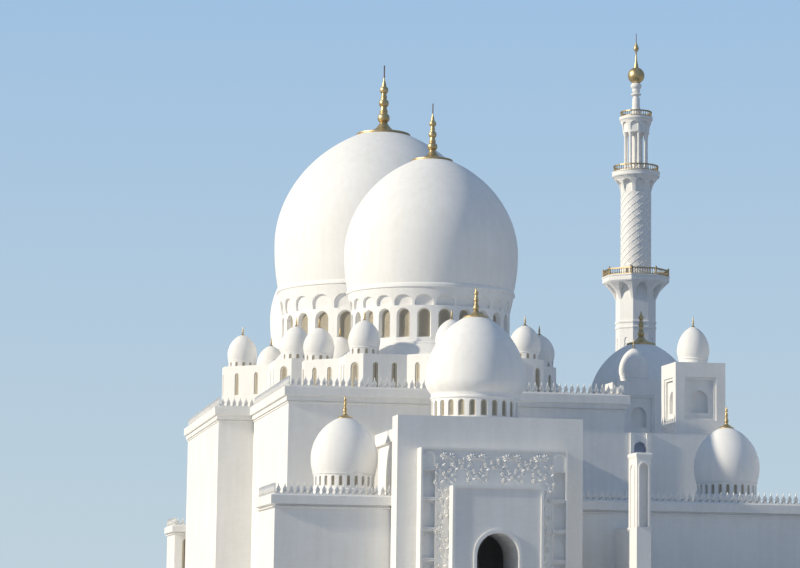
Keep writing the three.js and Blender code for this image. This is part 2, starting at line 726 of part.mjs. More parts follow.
// The round upper shaft, its two balconies, the ring of slim columns, and the spire on top.
function minaretTop() {
  const body = turned([
    [0, THIRD_BALCONY.top],
    [THIRD_BALCONY.radius, THIRD_BALCONY.top],
    [THIRD_BALCONY.radius, THIRD_BALCONY.under],
    [LANTERN.ring + LANTERN.column, LANTERN.top],
    [LANTERN.core, LANTERN.top],
    [LANTERN.core, SECOND_BALCONY.top],
    [SECOND_BALCONY.radius, SECOND_BALCONY.top],
    [SECOND_BALCONY.radius, SECOND_BALCONY.under],
    [CYLINDER.radius, CYLINDER.top],
    [CYLINDER.radius, FIRST_BALCONY.top],
    [0, FIRST_BALCONY.top],
  ], 12);
  const columns = around(LANTERN.columns, () =>
    turned([[0, SECOND_BALCONY.top - 10], [LANTERN.column, SECOND_BALCONY.top - 10],
      [LANTERN.column, LANTERN.top + 10], [0, LANTERN.top + 10]], 4).translate(0, -LANTERN.ring, 0));
  return join(body, ...columns, minaretSpire());
}

function minaretSpire() {
  const { foot, waist, waistFrom, bead, beadAt, collar, collarAt } = MINARET_NECK;
  const { radius, centre } = MINARET_BALL;
  const stem = MINARET_STEM;
  const slant = 0.7 * radius;
  return turned([
    [0, THIRD_BALCONY.top - 10],
    [foot, THIRD_BALCONY.top - 10],
    [waist, waistFrom],
    [waist, beadAt - 40],
    [bead, beadAt],
    [waist, beadAt + 50],
    [collar, collarAt],
    [slant, centre - slant],
    [radius, centre],
    [slant, centre + slant],
    [stem.foot, stem.footAt],
    [stem.waist, stem.footAt + 180],
    [stem.waist, stem.bulbAt - 60],
    [stem.bulb, stem.bulbAt],
    [0, MINARET_TIP],
  ], SMALL_ROUND);
}

place("floor", floor(), paving);
place("hall_south_wall", endWall(-1));
place("hall_north_wall", endWall(1));
place("hall_west_wall", longWall(-1, []));
const courtArches = [-4200, 4200].map((y) => ({ y, width: 1200, top: 1800, out: HALL_HALF_WIDTH }));
place("hall_east_wall", longWall(1, [...courtArches, { y: 0, width: 900, top: 1800, out: MIDDLE_HALF_WIDTH }]));
place("hall_roof_south", roofOver(-HALL_HALF_LENGTH, -MIDDLE_HALF_LENGTH, HALL_HALF_WIDTH, SIDE, -SIDE_DOME_Y));
place("hall_roof_middle", roofOver(-MIDDLE_HALF_LENGTH, MIDDLE_HALF_LENGTH, MIDDLE_HALF_WIDTH, MAIN, 0));
place("hall_roof_north", roofOver(MIDDLE_HALF_LENGTH, HALL_HALF_LENGTH, HALL_HALF_WIDTH, SIDE, SIDE_DOME_Y));
place("hall_parapet", parapet());

const domes = [["south", SIDE, -SIDE_DOME_Y], ["main", MAIN, 0], ["north", SIDE, SIDE_DOME_Y]];
for (const [name, dome, y] of domes) {
  const { geometry, seatZ } = greatDome(dome);
  place(name + "_star_wall", starWall(dome), marble, 0, y);
  place(name + "_star_roof", starRoof(dome), marble, 0, y);
  drumSegments(dome).forEach((segment, i) => {
    place(name + "_drum_" + (i + 1), segment, marble, 0, y);
  });
  place(name + "_dome", geometry, marble, 0, y);
  place(name + "_finial", finial(dome.finialRadius - 2, seatZ, dome.finialTop), gold, 0, y);
}

for (const [name, side] of [["south", -1], ["north", 1]]) {
  place(name + "_portal_screen", portalScreen(side));
  place(name + "_portal_hall", vestibule(side));
  place(name + "_portal_dome", drumAndDome(PORTAL_DOME), marble, 0, side * PORTAL_DOME.y);
  place(name + "west_wing", wing(-VESTIBULE.half, -WEST_WING_END, side, WING_DOME.westX));
  place(name + "west_wing_dome", drumAndDome(WING_DOME), marble, WING_DOME.westX, side * WING_DOME.y);
  place(name + "east_wing", wing(VESTIBULE.half, EAST_WING_END, side, WING_DOME.eastX, GALLERY_EAST));
  place(name + "east_wing_dome", drumAndDome(WING_DOME), marble, WING_DOME.eastX, side * WING_DOME.y);
  place(name + "_gallery", gallery(side));
  TOWER.ys.forEach((y, i) => {
    place(name + "_tower_" + (i + 1), tower(), marble, TOWER.x, side * y);
  });
  place(name + "_minaret_shaft", minaretShaft(), marble, MINARET.x, side * MINARET.y);
  place(name + "_minaret_lantern", minaretTop(), marble, MINARET.x, side * MINARET.y);
}

place("entrance_block", entranceBlock());
place("entrance_dome", drumAndDome(ENTRANCE_DOME), marble, ENTRANCE_DOME.x, 0);

export default mosque;
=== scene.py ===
# A great white marble mosque, dressed for its photograph.
# Sizes are in metres of the 1:10 model: 0.1 here is one metre of the building.
# +X is east, +Y is north, +Z is up; angles turn from south (-Y) towards east (+X).

import math
import random

import bmesh
import bpy
from mathutils import Matrix, Vector


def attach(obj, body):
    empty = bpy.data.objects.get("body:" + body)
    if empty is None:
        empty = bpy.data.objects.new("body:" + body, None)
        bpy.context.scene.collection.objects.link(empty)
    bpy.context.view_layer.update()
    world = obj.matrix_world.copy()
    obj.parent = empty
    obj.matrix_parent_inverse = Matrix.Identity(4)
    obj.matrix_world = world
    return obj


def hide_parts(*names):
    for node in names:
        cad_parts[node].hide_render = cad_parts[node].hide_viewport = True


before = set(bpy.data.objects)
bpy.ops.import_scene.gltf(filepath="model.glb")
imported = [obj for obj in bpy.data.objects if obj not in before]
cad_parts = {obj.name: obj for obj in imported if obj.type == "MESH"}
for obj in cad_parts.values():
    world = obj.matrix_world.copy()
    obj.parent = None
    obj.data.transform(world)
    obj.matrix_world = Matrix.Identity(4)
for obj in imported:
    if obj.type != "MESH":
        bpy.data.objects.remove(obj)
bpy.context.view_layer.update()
BODY = "root"

# The prayer hall
FLOOR_TOP = 0.06
HALL_HALF_WIDTH = 2.2
HALL_HALF_LENGTH = 6.2
MIDDLE_HALF_WIDTH = 2.7
MIDDLE_HALF_LENGTH = 2.4
ROOF_TOP = 2.7
PARAPET_TOP = 2.88

# The three great domes
SIDE_DOME_Y = 4.15
SIDE = dict(
    dome=1.195, star_side=1.333, star_top=3.4, ring_radius=1.535, apron_foot=1.3, apron_top=1.12,
    small_dome=dict(radius=0.213, neck=0.195, drum=0.08, height=0.47),
    drum_bottom=3.57, drum_radius=1.09, drum_flare=1.15, drum_top=4.385, apex=6.31, finial_radius=0.276,
    finial_top=7.044, window=dict(width=0.187, sill=3.67, top=4.065), arch_top=4.245,
)
MAIN = dict(
    dome=1.65, star_side=1.8, star_top=3.66, ring_radius=2.12, apron_foot=1.77, apron_top=1.55,
    small_dome=dict(radius=0.225, neck=0.21, drum=0.085, height=0.51),
    drum_bottom=3.88, drum_radius=1.51, drum_flare=1.59, drum_top=4.885, apex=7.46, finial_radius=0.405,
    finial_top=8.452, window=dict(width=0.245, sill=3.99, top=4.45), arch_top=4.7,
)
LIP = dict(height=0.05, reach=0.007, set_back=0.01, step=0.015)
DRUM_WINDOWS = 24
DRUM_FOOT = dict(out=0.02, edge=0.035, top=0.05)
# The blind arches over a great drum's windows: their share of a bay, and the plain stone below and above
BLIND_ARCH = dict(share=0.88, rise=0.42, depth=0.034, below=0.035, above=0.03)
STAR_PLINTH = dict(height=0.06, out=0.012)
STAR_CORNER_CUT = 0.2
STAR_WINDOW = dict(width=0.076, height=0.33, below_top=0.108, from_middle=0.215)
STAR_CORNER_WINDOW_WIDTH = 0.13

# How deep a window sits, its lattice's spacing and bars, its arch's steps, and how narrow its pane is
DRUM_LATTICE = dict(depth=0.07, spacing=0.04, bar=0.012, steps=14, narrow=0.86)
STAR_LATTICE = dict(depth=0.018, spacing=0.036, bar=0.011)
STAR_CORNER_LATTICE = dict(depth=0.018, spacing=0.04, bar=0.012)
SMALL_DRUM_LATTICE = dict(depth=0.025, spacing=0.03, bar=0.008, steps=8, narrow=0.88)
SCREEN_LATTICE = dict(depth=0.02, spacing=0.05, bar=0.01)

# The portals
PORTAL_FRAME = dict(half=0.895, outer=8.46, top=2.008, band=0.025)
DOOR_FRAME = dict(half=0.55, outer=8.68, top=1.555, band=0.03)
DOORWAY = dict(width=0.58, top=1.045, edge=0.035)
FRAME_PANEL = dict(centre=0.795, width=0.145, height=0.32, tops=(0.66, 1.02, 1.38, 1.74))
TOP_ARCH = dict(width=0.165, inner_width=0.12, sill=1.785, top=1.965)
BORDER = 0.014
FRAME_OUT = 0.016
# The small arch in a panel's head: its height, and the stone beside and over it
PANEL_HEAD = dict(height=0.12, side=0.015, over=0.02)
VESTIBULE_HALF = 1.03
PORTAL_DOME = dict(
    y=7.26, radius=0.627, neck=0.545, bottom=2.28, spring=2.75, apex=3.77, bulge=0.24,
    window=dict(width=0.084, sill=2.455, top=2.655), finial_radius=0.157, finial_top=4.1,
)

# The low wings
WING_OUTER_Y = 7.8
WING_ROOF_TOP = 1.4
WING_PARAPET_TOP = 1.44
WEST_WING_END = 2.55
EAST_WING_END = 5.38
WING_DOME = dict(
    y=7.22, west_x=-1.628, east_x=3.26, radius=0.414, neck=0.375, bottom=1.4, spring=1.74, apex=2.445,
    window=dict(width=0.046, sill=1.573, top=1.696), finial_radius=0.09, finial_top=2.7,
)
PIER = dict(west=1.616, east=1.79, inner=8.58, outer=8.95, top=1.97)
PIER_NICHE = dict(width=0.1, band=0.018, sill=1.1, top=1.85)
PIER_WEST_ARCH = dict(width=0.24, inner_width=0.18)
# The screen beside a west wing: how far inside the wing's edges it ends, how far it stands out from the
# hall, how much of its width the hole takes, and the stone under and over the hole
WING_SCREEN = dict(edge=0.09, out=0.05, share=0.65, sill=0.1, head=0.08)

# The east side
GALLERY_EAST = 3.66
GALLERY_TOP = 2.4
GALLERY_WINDOW = dict(x=2.41, width=0.17, sill=1.56, top=2.29, set_back=0.06, band=0.05, band_out=0.03)
ENTRANCE_HALF = 1.0
ENTRANCE_EAST = 5.0
ENTRANCE_TOP = 2.7
ENTRANCE_DOME = dict(
    x=4.13, radius=0.8, neck=0.745, bottom=2.7, spring=2.98, apex=4.28,
    window=dict(width=0.09, sill=2.75, top=2.93), finial_radius=0.22, finial_top=4.75,
)
TOWER = dict(x=3.29, ys=(2.65, 5.65), half=0.34, top=3.365)
TOWER_RECESS = dict(width=0.43, depth=0.05, top=3.17, sill=2.6, step=0.034)
TOWER_NICHE = dict(width=0.234, depth=0.08, top=3.0)
TOWER_DOME = dict(radius=0.215, neck=0.19, drum=0.075, height=0.515)

# The minarets
MINARET_X = 5.9
MINARET_Y = 6.8
MINARET_FOOT = dict(half=0.52, top=3.6)
FOOT_RECESS = dict(width=0.62, depth=0.03, top=3.38, sill=1.9, step=0.02)
FOOT_NICHE = dict(width=0.4, depth=0.03, top=3.24)
SHAFT = dict(half=0.343, top=5.75, arch_width=0.08, arch_top=5.04, rings=(5.2, 5.3))
FIRST_BALCONY = dict(half=0.574, under=6.06, top=6.18, railing=0.125, inset=0.015, spacing=0.045)
CYLINDER = dict(radius=0.277, top=7.75)
MINARET_DOOR = dict(width=0.05, top=0.15, surround=0.058, head=0.21)
SECOND_BALCONY = dict(radius=0.44, under=8.04, top=8.14, railing=0.12, inset=0.03, spacing=0.06)
LANTERN = dict(core=0.12, ring=0.2, rim=0.245, columns=8, column=0.032, top=8.9)
THIRD_BALCONY = dict(radius=0.31, under=9.12, top=9.18, railing=0.107, inset=0.025, spacing=0.05)
# The neck under the ball, as radius and height above the third balcony, with a ring in its middle.
NECK_LOWER = [(0.123, 0.0), (0.118, 0.03), (0.088, 0.12), (0.071, 0.22), (0.07, 0.36)]
NECK_RING = dict(radius=0.095, centre=0.44, half=0.03)
NECK_UPPER = [(0.072, 0.49), (0.07, 0.54), (0.1, 0.58), (0.1, 0.62), (0.07, 0.655)]
BALL = dict(radius=0.155, centre=9.98, hole=0.045)
# The stem and the pointed bulb over the ball, as radius and height above the ball's middle.
SPIRE = [(0.05, 0.14), (0.039, 0.19), (0.024, 0.26), (0.013, 0.38), (0.012, 0.44), (0.03, 0.47),
         (0.046, 0.495), (0.05, 0.52), (0.042, 0.55), (0.024, 0.59), (0.009, 0.63)]
MINARET_TIP = 10.79

# How round things are
ROUND = 128
MEDIUM_ROUND = 96
SHAFT_ROUND = 64
SMALL_ROUND = 48
# Half the angle that one side of an octagon takes up
EIGHTH = math.pi / 8
# Two faces that meet at a smaller angle than this lie in one plane
FLAT_ANGLE = 0.001

# The camera stands about 38 m south of the model, 9.9 degrees round towards the west.
CAMERA_PLACE = (-6.283, -37.783, 0.2)
CAMERA_HEADING = math.atan2(0.1715, 0.9852)
CAMERA_PITCH = math.radians(7.18)
CAMERA_ROLL = 0.014
CAMERA_LENS = 112.9

# A low sun in the west, and bluish light in the shade
SUN_AZIMUTH = math.radians(4)
SUN_ELEVATION = math.radians(24)
SUN_ENERGY = 3.6
SUN_COLOUR = (1.0, 0.9, 0.72)
SHADE_COLOUR = (0.2, 0.285, 0.425)
# Two heights over the horizon, with the colours between which the sky turns
SKY_LOW = (math.sin(math.radians(0.7)), (0.52, 0.64, 0.715))
SKY_HIGH = (math.sin(math.radians(13.6)), (0.35, 0.533, 0.753))
STUDIO_FLOOR_REACH = 400.0


class Shape:
    """Points and faces gathered for one mesh."""

    def __init__(self):
        self.points = []
        self.faces = []

    def add(self, points, faces):
        first = len(self.points)
        self.points.extend(points)
        self.faces.extend(tuple(first + i for i in face) for face in faces)

    def face(self, *points):
        self.add(points, [range(len(points))])

    def skin(self, rows, closed=False):
        """Quads between neighbouring rows of points; closed joins each row's end to its start."""
        width = len(rows[0])
        faces = []
        for start in range(0, (len(rows) - 1) * width, width):
            for i in range(width if closed else width - 1):
                j = (i + 1) % width
                faces.append((start + i, start + j, start + width + j, start + width + i))
        self.add([point for row in rows for point in row], faces)

    def copy(self, other, matrix):
        self.add([tuple(matrix @ Vector(point)) for point in other.points], other.faces)


# Materials

class Nodes:
    """Adds nodes to one tree. An input that is given as a socket is linked, and any other is set."""

    def __init__(self, tree):
        self.tree = tree

    def feed(self, node, inputs):
        for name, value in inputs.items():
            if isinstance(value, bpy.types.NodeSocket):
                self.tree.links.new(value, node.inputs[name])
            else:
                node.inputs[name].default_value = value
        return node

    def add(self, kind, inputs):
        return self.feed(self.tree.nodes.new("ShaderNode" + kind), inputs)

    def place(self, output="Object"):
        return self.add("TexCoord", {}).outputs[output]

    def noise(self, vector, scale, detail=4.0, roughness=0.55):
        inputs = {"Vector": vector, "Scale": scale, "Detail": detail, "Roughness": roughness}
        return self.add("TexNoise", inputs).outputs["Fac"]

    def ramp(self, value, stops):
        node = self.add("ValToRGB", {"Fac": value})
        elements = node.color_ramp.elements
        while len(elements) < len(stops):
            elements.new(0.5)
        for element, (position, colour) in zip(elements, stops):
            element.position = position
            element.color = (*colour, 1.0)
        return node.outputs["Color"]

    def mix(self, first, second, factor, blend):
        node = self.tree.nodes.new("ShaderNodeMix")
        node.data_type = "RGBA"
        node.blend_type = blend
        return self.feed(node, {"A": first, "B": second, "Factor": factor}).outputs["Result"]

    def remap(self, value, low, high):
        return self.add("MapRange", {"Value": value, "To Min": low, "To Max": high}).outputs["Result"]

    def bump(self, height, strength, distance):
        inputs = {"Height": height, "Strength": strength, "Distance": distance}
        return self.add("Bump", inputs).outputs["Normal"]


def new_material(name):
    material = bpy.data.materials.new(name)
    material.use_nodes = True
    return material, Nodes(material.node_tree), material.node_tree.nodes["Principled BSDF"]


def slabs(nodes, place):
    """Long thin slabs in courses with narrow joints, laid along x + y so that every wall gets them."""
    separate = nodes.add("SeparateXYZ", {"Vector": place})
    along = nodes.add("Math", {0: separate.outputs["X"], 1: separate.outputs["Y"]})
    flat = nodes.add("CombineXYZ", {"X": along.outputs["Value"], "Y": separate.outputs["Z"]})
    return nodes.add("TexBrick", {
        "Vector": flat.outputs["Vector"], "Scale": 1.0, "Brick Width": 0.12, "Row Height": 0.06,
        "Mortar Size": 0.0012, "Mortar Smooth": 0.3, "Color1": (1.0, 1.0, 1.0, 1.0),
        "Color2": (0.965, 0.965, 0.96, 1.0), "Mortar": (0.86, 0.86, 0.85, 1.0),
    })


def marble_material(name, light, dark, joints):
    """White marble: soft clouding, thin grey veins, rain streaks, and slab joints where joints is true."""
    material, nodes, shader = new_material(name)
    place = nodes.place()
    clouds = nodes.noise(place, 1.6, 5.0)
    colour = nodes.ramp(clouds, [(0.3, dark), (0.65, light)])
    streak_place = nodes.add("Mapping", {"Scale": (9.0, 9.0, 0.8), "Vector": place}).outputs["Vector"]
    streaks = nodes.ramp(nodes.noise(streak_place, 1.4, 6.0),
                         [(0.35, (0.93, 0.925, 0.91)), (0.6, (1.0, 1.0, 1.0))])
    colour = nodes.mix(colour, streaks, 0.55, "MULTIPLY")
    veins = nodes.ramp(nodes.noise(place, 7.0, 8.0, 0.62),
                       [(0.48, (1.0, 1.0, 1.0)), (0.5, (0.955, 0.955, 0.95)), (0.52, (1.0, 1.0, 1.0))])
    colour = nodes.mix(colour, veins, 0.8, "MULTIPLY")
    height = nodes.noise(place, 60.0, 3.0)
    if joints:
        pattern = slabs(nodes, place)
        colour = nodes.mix(colour, pattern.outputs["Color"], 0.35, "MULTIPLY")
        height = nodes.mix(height, pattern.outputs["Fac"], 0.3, "SUBTRACT")
    nodes.feed(shader, {"Base Color": colour, "Roughness": nodes.remap(clouds, 0.6, 0.76),
                        "Specular IOR Level": 0.3, "Normal": nodes.bump(height, 0.12, 0.004)})
    return material


def patchy_material(name, light, dark, stops, roughness, scale, grain):
    """A finish whose colour and roughness vary in soft patches, over a fine grain of (scale, strength)."""
    material, nodes, shader = new_material(name)
    place = nodes.place()
    patches = nodes.noise(place, scale, 5.0)
    nodes.feed(shader, {"Base Color": nodes.ramp(patches, [(stops[0], dark), (stops[1], light)]),
                        "Roughness": nodes.remap(patches, *roughness),
                        "Normal": nodes.bump(nodes.noise(place, grain[0], 2.0), grain[1], 0.002)})
    return material, shader


def gold_material(name, light, dark, roughness):
    limits = (roughness - 0.08, roughness + 0.14)
    material, shader = patchy_material(name, light, dark, (0.35, 0.6), limits, 14.0, (90.0, 0.15))
    shader.inputs["Metallic"].default_value = 1.0
    return material


def plain_material(name, light, dark, roughness, scale=8.0):
    limits = (roughness - 0.06, roughness + 0.1)
    return patchy_material(name, light, dark, (0.3, 0.7), limits, scale, (12 * scale, 0.1))[0]


WALL_MARBLE = marble_material("wall_marble", (0.91, 0.9, 0.88), (0.86, 0.85, 0.83), True)
DOME_MARBLE = marble_material("dome_marble", (0.94, 0.93, 0.91), (0.9, 0.89, 0.87), False)
GOLD = gold_material("gilding", (0.68, 0.54, 0.3), (0.54, 0.41, 0.21), 0.42)
RAILING = gold_material("railing_bronze", (0.5, 0.4, 0.24), (0.36, 0.27, 0.15), 0.45)
TIP = plain_material("finial_tip", (0.2, 0.13, 0.1), (0.13, 0.09, 0.08), 0.5)
LATTICE = plain_material("lattice_stone", (0.52, 0.47, 0.37), (0.44, 0.39, 0.3), 0.6, 30.0)
# Opaque window glass in dark brown: partly the glass itself, mostly painted shade of the dim inside seen
# through it.
GLASS_PAINTED_SHADE = plain_material("window_glass_painted_shade", (0.16, 0.14, 0.11), (0.1, 0.09, 0.07), 0.4, 3.0)
# The gallery window's opaque bluish pane: its colour is painted deep shade.
BLUE_GLASS_PAINTED_SHADE = plain_material("gallery_glass_painted_shade", (0.36, 0.4, 0.5), (0.31, 0.35, 0.44), 0.4, 3.0)
PAVING = plain_material("paving", (0.66, 0.63, 0.57), (0.56, 0.53, 0.48), 0.6)


# Pieces

def make_piece(name, shape, material, replaces=(), crease=35.0):
    """A smooth mesh with creases that rides on the body and may take the place of CAD nodes."""
    mesh = bpy.data.meshes.new(name)
    mesh.from_pydata(shape.points, [], shape.faces)
    work = bmesh.new()
    work.from_mesh(mesh)
    bmesh.ops.remove_doubles(work, verts=work.verts, dist=2e-5)
    bmesh.ops.recalc_face_normals(work, faces=work.faces)
    limit = math.radians(crease)
    for edge in work.edges:
        edge.smooth = edge.calc_face_angle(math.pi) < limit
    for face in work.faces:
        face.smooth = any(FLAT_ANGLE < edge.calc_face_angle(math.pi) < limit for edge in face.edges)
    work.to_mesh(mesh)
    work.free()
    mesh.materials.append(material)
    piece = bpy.data.objects.new(name, mesh)
    bpy.context.scene.collection.objects.link(piece)
    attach(piece, BODY)
    if replaces:
        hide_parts(*replaces)


def make_windows(name, bars, glass):
    make_piece(name + "_lattice", bars, LATTICE)
    # The glass takes the dark material that paints the shade of the inside.
    make_piece(name + "_glass", glass, GLASS_PAINTED_SHADE)


def flat_place(x, y, heading, reach=0.0):
    """Places (across, out, up) on a flat wall that faces the heading, its middle at reach from x, y."""
    across = (math.cos(heading), math.sin(heading))
    out = (math.sin(heading), -math.cos(heading))
    x, y = x + reach * out[0], y + reach * out[1]
    return lambda a, o, z: (x + a * across[0] + o * out[0], y + a * across[1] + o * out[1], z)


def end_place(x, y, sign):
    """Places on a wall of the south end (sign -1) or the north end (sign 1), y from the building's middle."""
    return flat_place(x, sign * y, 0.0 if sign < 0 else math.pi)


def round_place(x, y, radius, heading):
    """Places (across, out, up) on a round wall."""
    def place(a, o, z):
        angle = heading + a / radius
        return (x + (radius + o) * math.sin(angle), y - (radius + o) * math.cos(angle), z)
    return place


def headings(count, turn=0.0):
    return [turn + 2 * math.pi * i / count for i in range(count)]


def circle_points(x, y, radius, count, turn=0.0):
    return [(x + radius * math.sin(angle), y - radius * math.cos(angle)) for angle in headings(count, turn)]


def square_corners(x, y, half_x, half_y):
    return [(x + i * half_x, y + j * half_y) for i, j in ((-1, -1), (1, -1), (1, 1), (-1, 1))]


def box(shape, place, a0, a1, o0, o1, z0, z1):
    corners = [place(a, o, z) for z in (z0, z1) for o in (o0, o1) for a in (a0, a1)]
    shape.add(corners, [(0, 1, 3, 2), (4, 6, 7, 5), (0, 4, 5, 1), (2, 3, 7, 6), (0, 2, 6, 4), (1, 5, 7, 3)])


def lathe(shape, profile, x=0.0, y=0.0, sides=ROUND, turn=0.0):
    """Turns a profile of (radius, height) round an upright axis."""
    rows = [[(a, b, z) for a, b in circle_points(x, y, radius, sides, turn)] for radius, z in profile]
    shape.skin(rows, closed=True)


def octagon(shape, levels, x, y):
    """An eight-sided skin through levels of (distance of the flat sides, height)."""
    lathe(shape, [(half / math.cos(EIGHTH), z) for half, z in levels], x, y, 8, EIGHTH)


def arch(width, sill, top, rise=0.5, steps=10):
    """An arch from its left foot over the crown to its right foot; rise is a share of the width."""
    spring = top - rise * width
    points = [(-width / 2, sill)]
    for i in range(steps + 1):
        angle = math.pi * i / steps
        points.append((-width / 2 * math.cos(angle), spring + (top - spring) * math.sin(angle)))
    points.append((width / 2, sill))
    return points


def level(out):
    """A wall that stands equally far out at every height."""
    return lambda z: out


def fill(shape, place, outline, out):
    shape.face(*(place(a, out(z), z) for a, z in outline))


def pierced_bay(stone, place, bay, outline, front=level(0.0)):
    """A stretch of wall with one arched hole in it; front gives how far out the wall stands at a height."""
    a0, a1, z0, z1 = bay
    left, sill = outline[0]
    right = outline[-1][0]
    for b0, b1 in ((a0, left), (right, a1)):
        fill(stone, place, ((b0, z0), (b1, z0), (b1, z1), (b0, z1)), front)
    if sill > z0:
        fill(stone, place, ((left, z0), (right, z0), (right, sill), (left, sill)), front)
    crown = outline[1:-1]
    for (b0, y0), (b1, y1) in zip(crown, crown[1:]):
        fill(stone, place, ((b0, y0), (b1, y1), (b1, z1), (b0, z1)), front)


def reveal(stone, place, outline, inner, front, back):
    """The sides of an opening, from the outline at the wall's face to the inner outline behind it."""
    near = [place(a, front(z), z) for a, z in outline + outline[:1]]
    far = [place(a, back(z), z) for a, z in inner + inner[:1]]
    stone.skin([near, far])


def sunk_arch(stone, place, bay, outline, depth, front=level(0.0), panes=None):
    """A stretch of wall with a blind arch sunk into it, closed with stone or with panes."""
    back = lambda z: front(z) - depth
    pierced_bay(stone, place, bay, outline, front)
    reveal(stone, place, outline, outline, front, back)
    fill(panes or stone, place, outline, back)


def crossings(outline, slope, offset):
    """Where the line z = slope * a + offset meets a closed outline."""
    hits = []
    for (a0, z0), (a1, z1) in zip(outline, outline[1:] + outline[:1]):
        d0 = z0 - slope * a0 - offset
        d1 = z1 - slope * a1 - offset
        if d0 * d1 < 0:
            share = d0 / (d0 - d1)
            hits.append((a0 + share * (a1 - a0), z0 + share * (z1 - z0)))
    return sorted(hits)


def lattice(bars, place, outline, out, spacing, bar):
    """Diagonal bars both ways across an opening, with a border."""
    low = min(z for a, z in outline)
    high = max(z for a, z in outline)
    half = max(a for a, z in outline)
    slope = 1.25
    lift = bar * math.hypot(1.0, slope) / 2
    section = ((-bar / 2, -lift), (bar / 2, -lift), (bar / 2, lift), (-bar / 2, lift))
    steps = int((high - low + 2 * slope * half) / spacing) + 1
    for direction in (-slope, slope):
        for i in range(steps):
            hits = crossings(outline, direction, low - slope * half + (i + 0.5) * spacing)
            if len(hits) == 2 and hits[1][0] - hits[0][0] >= 2 * bar:
                bars.skin([[place(a, out + o, z + up) for o, up in section] for a, z in hits], closed=True)
    narrower, lower = 1 - 2.2 * bar / half, 1 - 2 * bar / (high - low)
    border = [(a * narrower, low + (z - low) * lower + bar) for a, z in outline]
    reveal(bars, place, outline, border, level(out + 0.6 * bar), level(out + 0.6 * bar))


def window(shapes, place, bay, hole, depth, spacing, bar, steps=10, narrow=0.9, offset=0.0):
    """A wall bay with an arched window: splayed sides, a lattice, and an opaque glass pane behind it, made
    dark with painted shade of the inside.
    """
    stone, bars, glass = shapes
    width, sill, top = hole["width"], hole["sill"], hole["top"]
    shrink = (1 - narrow) * width / 2
    outline = [(a + offset, z) for a, z in arch(width, sill, top, steps=steps)]
    pane = arch(width * narrow, sill + shrink, top - shrink, steps=steps)
    pierced_bay(stone, place, bay, outline)
    reveal(stone, place, outline, [(a + offset, z) for a, z in pane], level(0.0), level(-depth))
    shifted = lambda a, o, z: place(a + offset, o, z)
    lattice(bars, shifted, pane, -depth, spacing, bar)
    # The pane behind the lattice is opaque, and its dark material paints the shade of the inside.
    fill(glass, shifted, pane, level(-depth - 1.5 * bar))


def moulding(shape, path, profile, closed=True):
    """Sweeps a profile of (out, height) along a path of square corners, mitred at each corner."""
    count = len(path)
    rows = []
    for i, (x, y) in enumerate(path):
        before = path[i - 1] if closed or i else None
        after = path[(i + 1) % count] if closed or i < count - 1 else None
        out_x = out_y = 0.0
        for start, end in ((before, (x, y)), ((x, y), after)):
            if start and end:
                length = math.dist(start, end)
                out_x += (end[1] - start[1]) / length
                out_y -= (end[0] - start[0]) / length
        rows.append([(x + out_x * out, y + out_y * out, z) for out, z in profile])
    if closed:
        rows.append(rows[0])
    shape.skin(rows)


def raised_band(trim, place, outer, inner, out, back=-0.001):
    """A raised band between two outlines, whose inner side goes back to the given depth."""
    trim.skin([[place(a, o, z) for a, z in edge]
               for edge, o in ((outer, -0.001), (outer, out), (inner, out), (inner, back))])


def raised_arch(trim, place, centre, width, inner_width, sill, top):
    """A raised band in the form of an arch."""
    outer = arch(width, sill, top, 0.56, 14)
    inner = arch(inner_width, sill, top - (width - inner_width) / 2, 0.56, 14)
    raised_band(trim, lambda a, o, z: place(centre + a, o, z), outer, inner, 0.012)


# Domes and finials

def dome_profile(radius, foot, spring, apex, steps=40, bulge_share=0.43):
    """From the foot up: a bulge, then a long curve to a slight point."""
    bulge = spring + bulge_share * radius
    lower = spring + 0.47 * bulge_share * radius
    rise = apex - bulge
    points = []
    for i in range(steps // 4):
        t = i / (steps // 4)
        k0, k1, k2 = (1 - t) ** 2, 2 * t * (1 - t), t * t
        points.append((k0 * foot + k1 * radius + k2 * radius, k0 * spring + k1 * lower + k2 * bulge))
    for i in range(steps + 1):
        t = i / steps
        k0, k1, k2, k3 = (1 - t) ** 3, 3 * t * (1 - t) ** 2, 3 * t * t * (1 - t), t ** 3
        points.append((radius * (k0 + k1 + 0.66 * k2), bulge + rise * (0.4 * k1 + 0.86 * k2 + k3)))
    return points


def capped(profile, radius, seat):
    """The profile up to the finial's seat, which closes it flat."""
    last = max(i for i, (r, z) in enumerate(profile) if r > radius)
    return profile[:last + 1] + [(radius, seat), (0.0, seat)]


def bead(radius, centre, half, steps=8, foot=None):
    """A rounded ring's profile, from its lower edge to its upper edge, where its radius is foot."""
    if foot is None:
        foot = 0.45 * radius
    return [(foot + (radius - foot) * math.sin(math.pi * i / steps),
             centre - half * math.cos(math.pi * i / steps)) for i in range(steps + 1)]


def height_at(profile, radius):
    """The height where the dome's upper curve has come in to the given radius."""
    for (r0, z0), (r1, z1) in zip(profile[::-1], profile[-2::-1]):
        if r0 <= radius < r1:
            return z0 + (z1 - z0) * (radius - r0) / (r1 - r0)
    return profile[-1][1]


